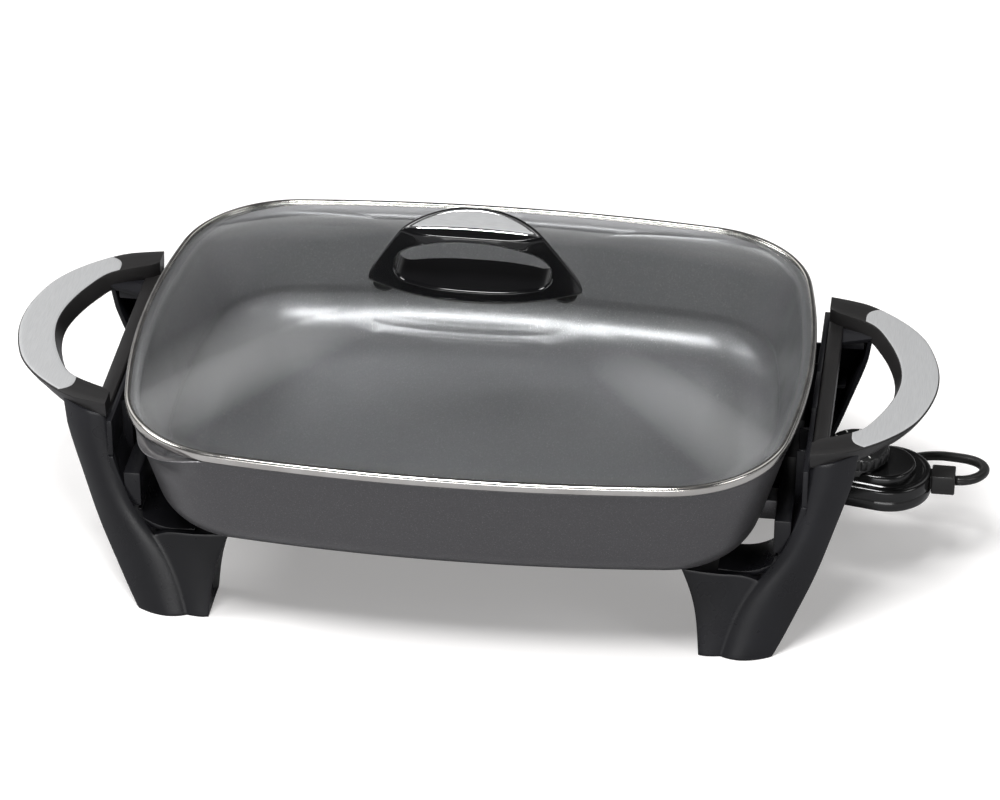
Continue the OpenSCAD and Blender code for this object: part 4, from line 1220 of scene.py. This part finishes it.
for k, txt in enumerate(("200", "250", "300", "350", "400")):
    cu = bpy.data.curves.new("n", "FONT")
    cu.body = txt
    cu.size = 0.0042
    cu.extrude = 0.0001
    cu.align_x = "CENTER"
    cu.align_y = "CENTER"
    t_ = bpy.data.objects.new("n", cu)
    a = rad(30 + 60 * k)
    col.objects.link(t_)
    t_.location = ((231 + 10.8 * math.cos(a)) * MM, 10.8 * math.sin(a) * MM, 88.0 * MM)
    t_.rotation_euler = (0, 0, a - math.pi / 2)
    bpy.context.view_layer.update()
    me = bpy.data.meshes.new_from_object(t_.evaluated_get(bpy.context.evaluated_depsgraph_get()))
    me.transform(t_.matrix_world)
    bpy.data.objects.remove(t_)
    o = bpy.data.objects.new("nn", me)
    col.objects.link(o)
    marks.append(o)
dial_marks = dress(join("dial_scale", marks), m_mark)
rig.ride(dial_marks, "dial"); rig.slot(dial_marks, "dial_black")

# ------------------------------------------------------------------ CAD pieces that keep their shape
for nd, m in (("heating_element", m_sheath), ("terminal_pins", m_steel), ("terminal_insulators", m_ceramic), ("terminal_guard", m_leg), ("guard_screws", m_dark_steel), ("base_screws", m_dark_steel),
              ("handle_screws", m_steel), ("knob_screws", m_dark_steel), ("knob_washers", m_dark_steel), ("control_screws", m_steel), ("temperature_probe", m_steel), ("contact_sleeves", m_brass),
              ("thermostat_base", m_ceramic), ("thermostat_blades", m_blade), ("thermostat_contacts", m_silver), ("control_wiring", m_wire), ("dial_shaft", m_steel)):
    cad(nd, m)

# ------------------------------------------------------------------ stage
floor = new_obj("floor", [(-9000, -9000, 0), (9000, -9000, 0), (9000, 9000, 0), (-9000, 9000, 0)], [(0, 1, 2, 3)], False)
m, nt, b = material("floor_white", color=(0.80, 0.79, 0.785), roughness=0.6, specular=0.1)
em = nt.nodes.new("ShaderNodeEmission")
em.inputs["Color"].default_value = (1, 0.985, 0.975, 1)
em.inputs["Strength"].default_value = 0.30
ad = nt.nodes.new("ShaderNodeAddShader")
nt.links.new(b.outputs[0], ad.inputs[0])
nt.links.new(em.outputs[0], ad.inputs[1])
dim = nt.nodes.new("ShaderNodeBsdfDiffuse")
dim.inputs["Color"].default_value = (0.40, 0.40, 0.41, 1)
lp = nt.nodes.new("ShaderNodeLightPath")
mx = nt.nodes.new("ShaderNodeMixShader")
nt.links.new(lp.outputs["Is Camera Ray"], mx.inputs[0])
nt.links.new(dim.outputs[0], mx.inputs[1])
nt.links.new(ad.outputs[0], mx.inputs[2])
nt.links.new(mx.outputs[0], nt.nodes["Material Output"].inputs["Surface"])
dress(floor, m)
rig.stage(floor)
w = bpy.data.worlds.new("world")
bpy.context.scene.world = w
w.use_nodes = True
nt = w.node_tree
bg = nt.nodes["Background"]
bg.inputs["Color"].default_value = (1, 1, 1, 1)
bg.inputs["Strength"].default_value = 1.0
amb = nt.nodes.new("ShaderNodeBackground")
amb.inputs["Strength"].default_value = 0.5
tc = nt.nodes.new("ShaderNodeTexCoord")
sx = nt.nodes.new("ShaderNodeSeparateXYZ")
nt.links.new(tc.outputs["Generated"], sx.inputs[0])
nt.links.new(ramp(nt, sx.outputs["Z"], [(0.0, (0.9, 0.9, 0.9)), (0.14, (0.6, 0.6, 0.6)), (0.34, (0.15, 0.15, 0.155)), (0.8, (0.1, 0.1, 0.105)), (1.0, (0.2, 0.2, 0.2))]), amb.inputs["Color"])
glow = amb.outputs[0]
for d, power, lo in (((-0.525, 0.59, 0.62), 1.3, 0.93), ((0.35, 0.56, 0.75), 1.2, 0.94)):
    dot = nt.nodes.new("ShaderNodeVectorMath")
    dot.operation = "DOT_PRODUCT"
    dot.inputs[1].default_value = Vector(d).normalized()
    nt.links.new(tc.outputs["Generated"], dot.inputs[0])
    em = nt.nodes.new("ShaderNodeBackground")
    em.inputs["Strength"].default_value = power
    nt.links.new(ramp(nt, dot.outputs["Value"], [(lo, (0, 0, 0)), (1.0, (1, 1, 1))]), em.inputs["Color"])
    ad = nt.nodes.new("ShaderNodeAddShader")
    nt.links.new(glow, ad.inputs[0])
    nt.links.new(em.outputs[0], ad.inputs[1])
    glow = ad.outputs[0]
lp = nt.nodes.new("ShaderNodeLightPath")
mx = nt.nodes.new("ShaderNodeMixShader")
nt.links.new(lp.outputs["Is Camera Ray"], mx.inputs[0])
nt.links.new(glow, mx.inputs[1])
nt.links.new(bg.outputs[0], mx.inputs[2])
nt.links.new(mx.outputs[0], nt.nodes["World Output"].inputs["Surface"])


def area(name, loc, target, size, power, size_y=None, color=(1, 1, 1)):
    L = bpy.data.lights.new(name, "AREA")
    L.shape = "RECTANGLE"
    L.size = size
    L.size_y = size_y or size
    L.energy = power
    L.color = color
    o = bpy.data.objects.new(name, L)
    col.objects.link(o)
    o.location = loc
    o.rotation_euler = (Vector(target) - Vector(loc)).to_track_quat("-Z", "Y").to_euler()
    return o


area("top", (-0.25, -1.25, 2.9), (0, -0.1, 0), 1.1, 100, 0.9)
area("left", (-2.3, 0.1, 2.1), (-0.1, 0, 0.08), 1.1, 34)
area("right", (2.2, -0.9, 1.5), (0.15, -0.05, 0.08), 0.9, 9)
area("low", (0.0, -2.7, 0.17), (0, 0, 0.08), 2.2, 15, 0.3)
sc = bpy.context.scene
sc.view_settings.view_transform = "Standard"
sc.view_settings.look = "None"

json.dump({"cad": [list(map(float, p)) for p in cad_box], "visual": [list(map(float, p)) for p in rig.bounds()]}, open("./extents.json", "w"))
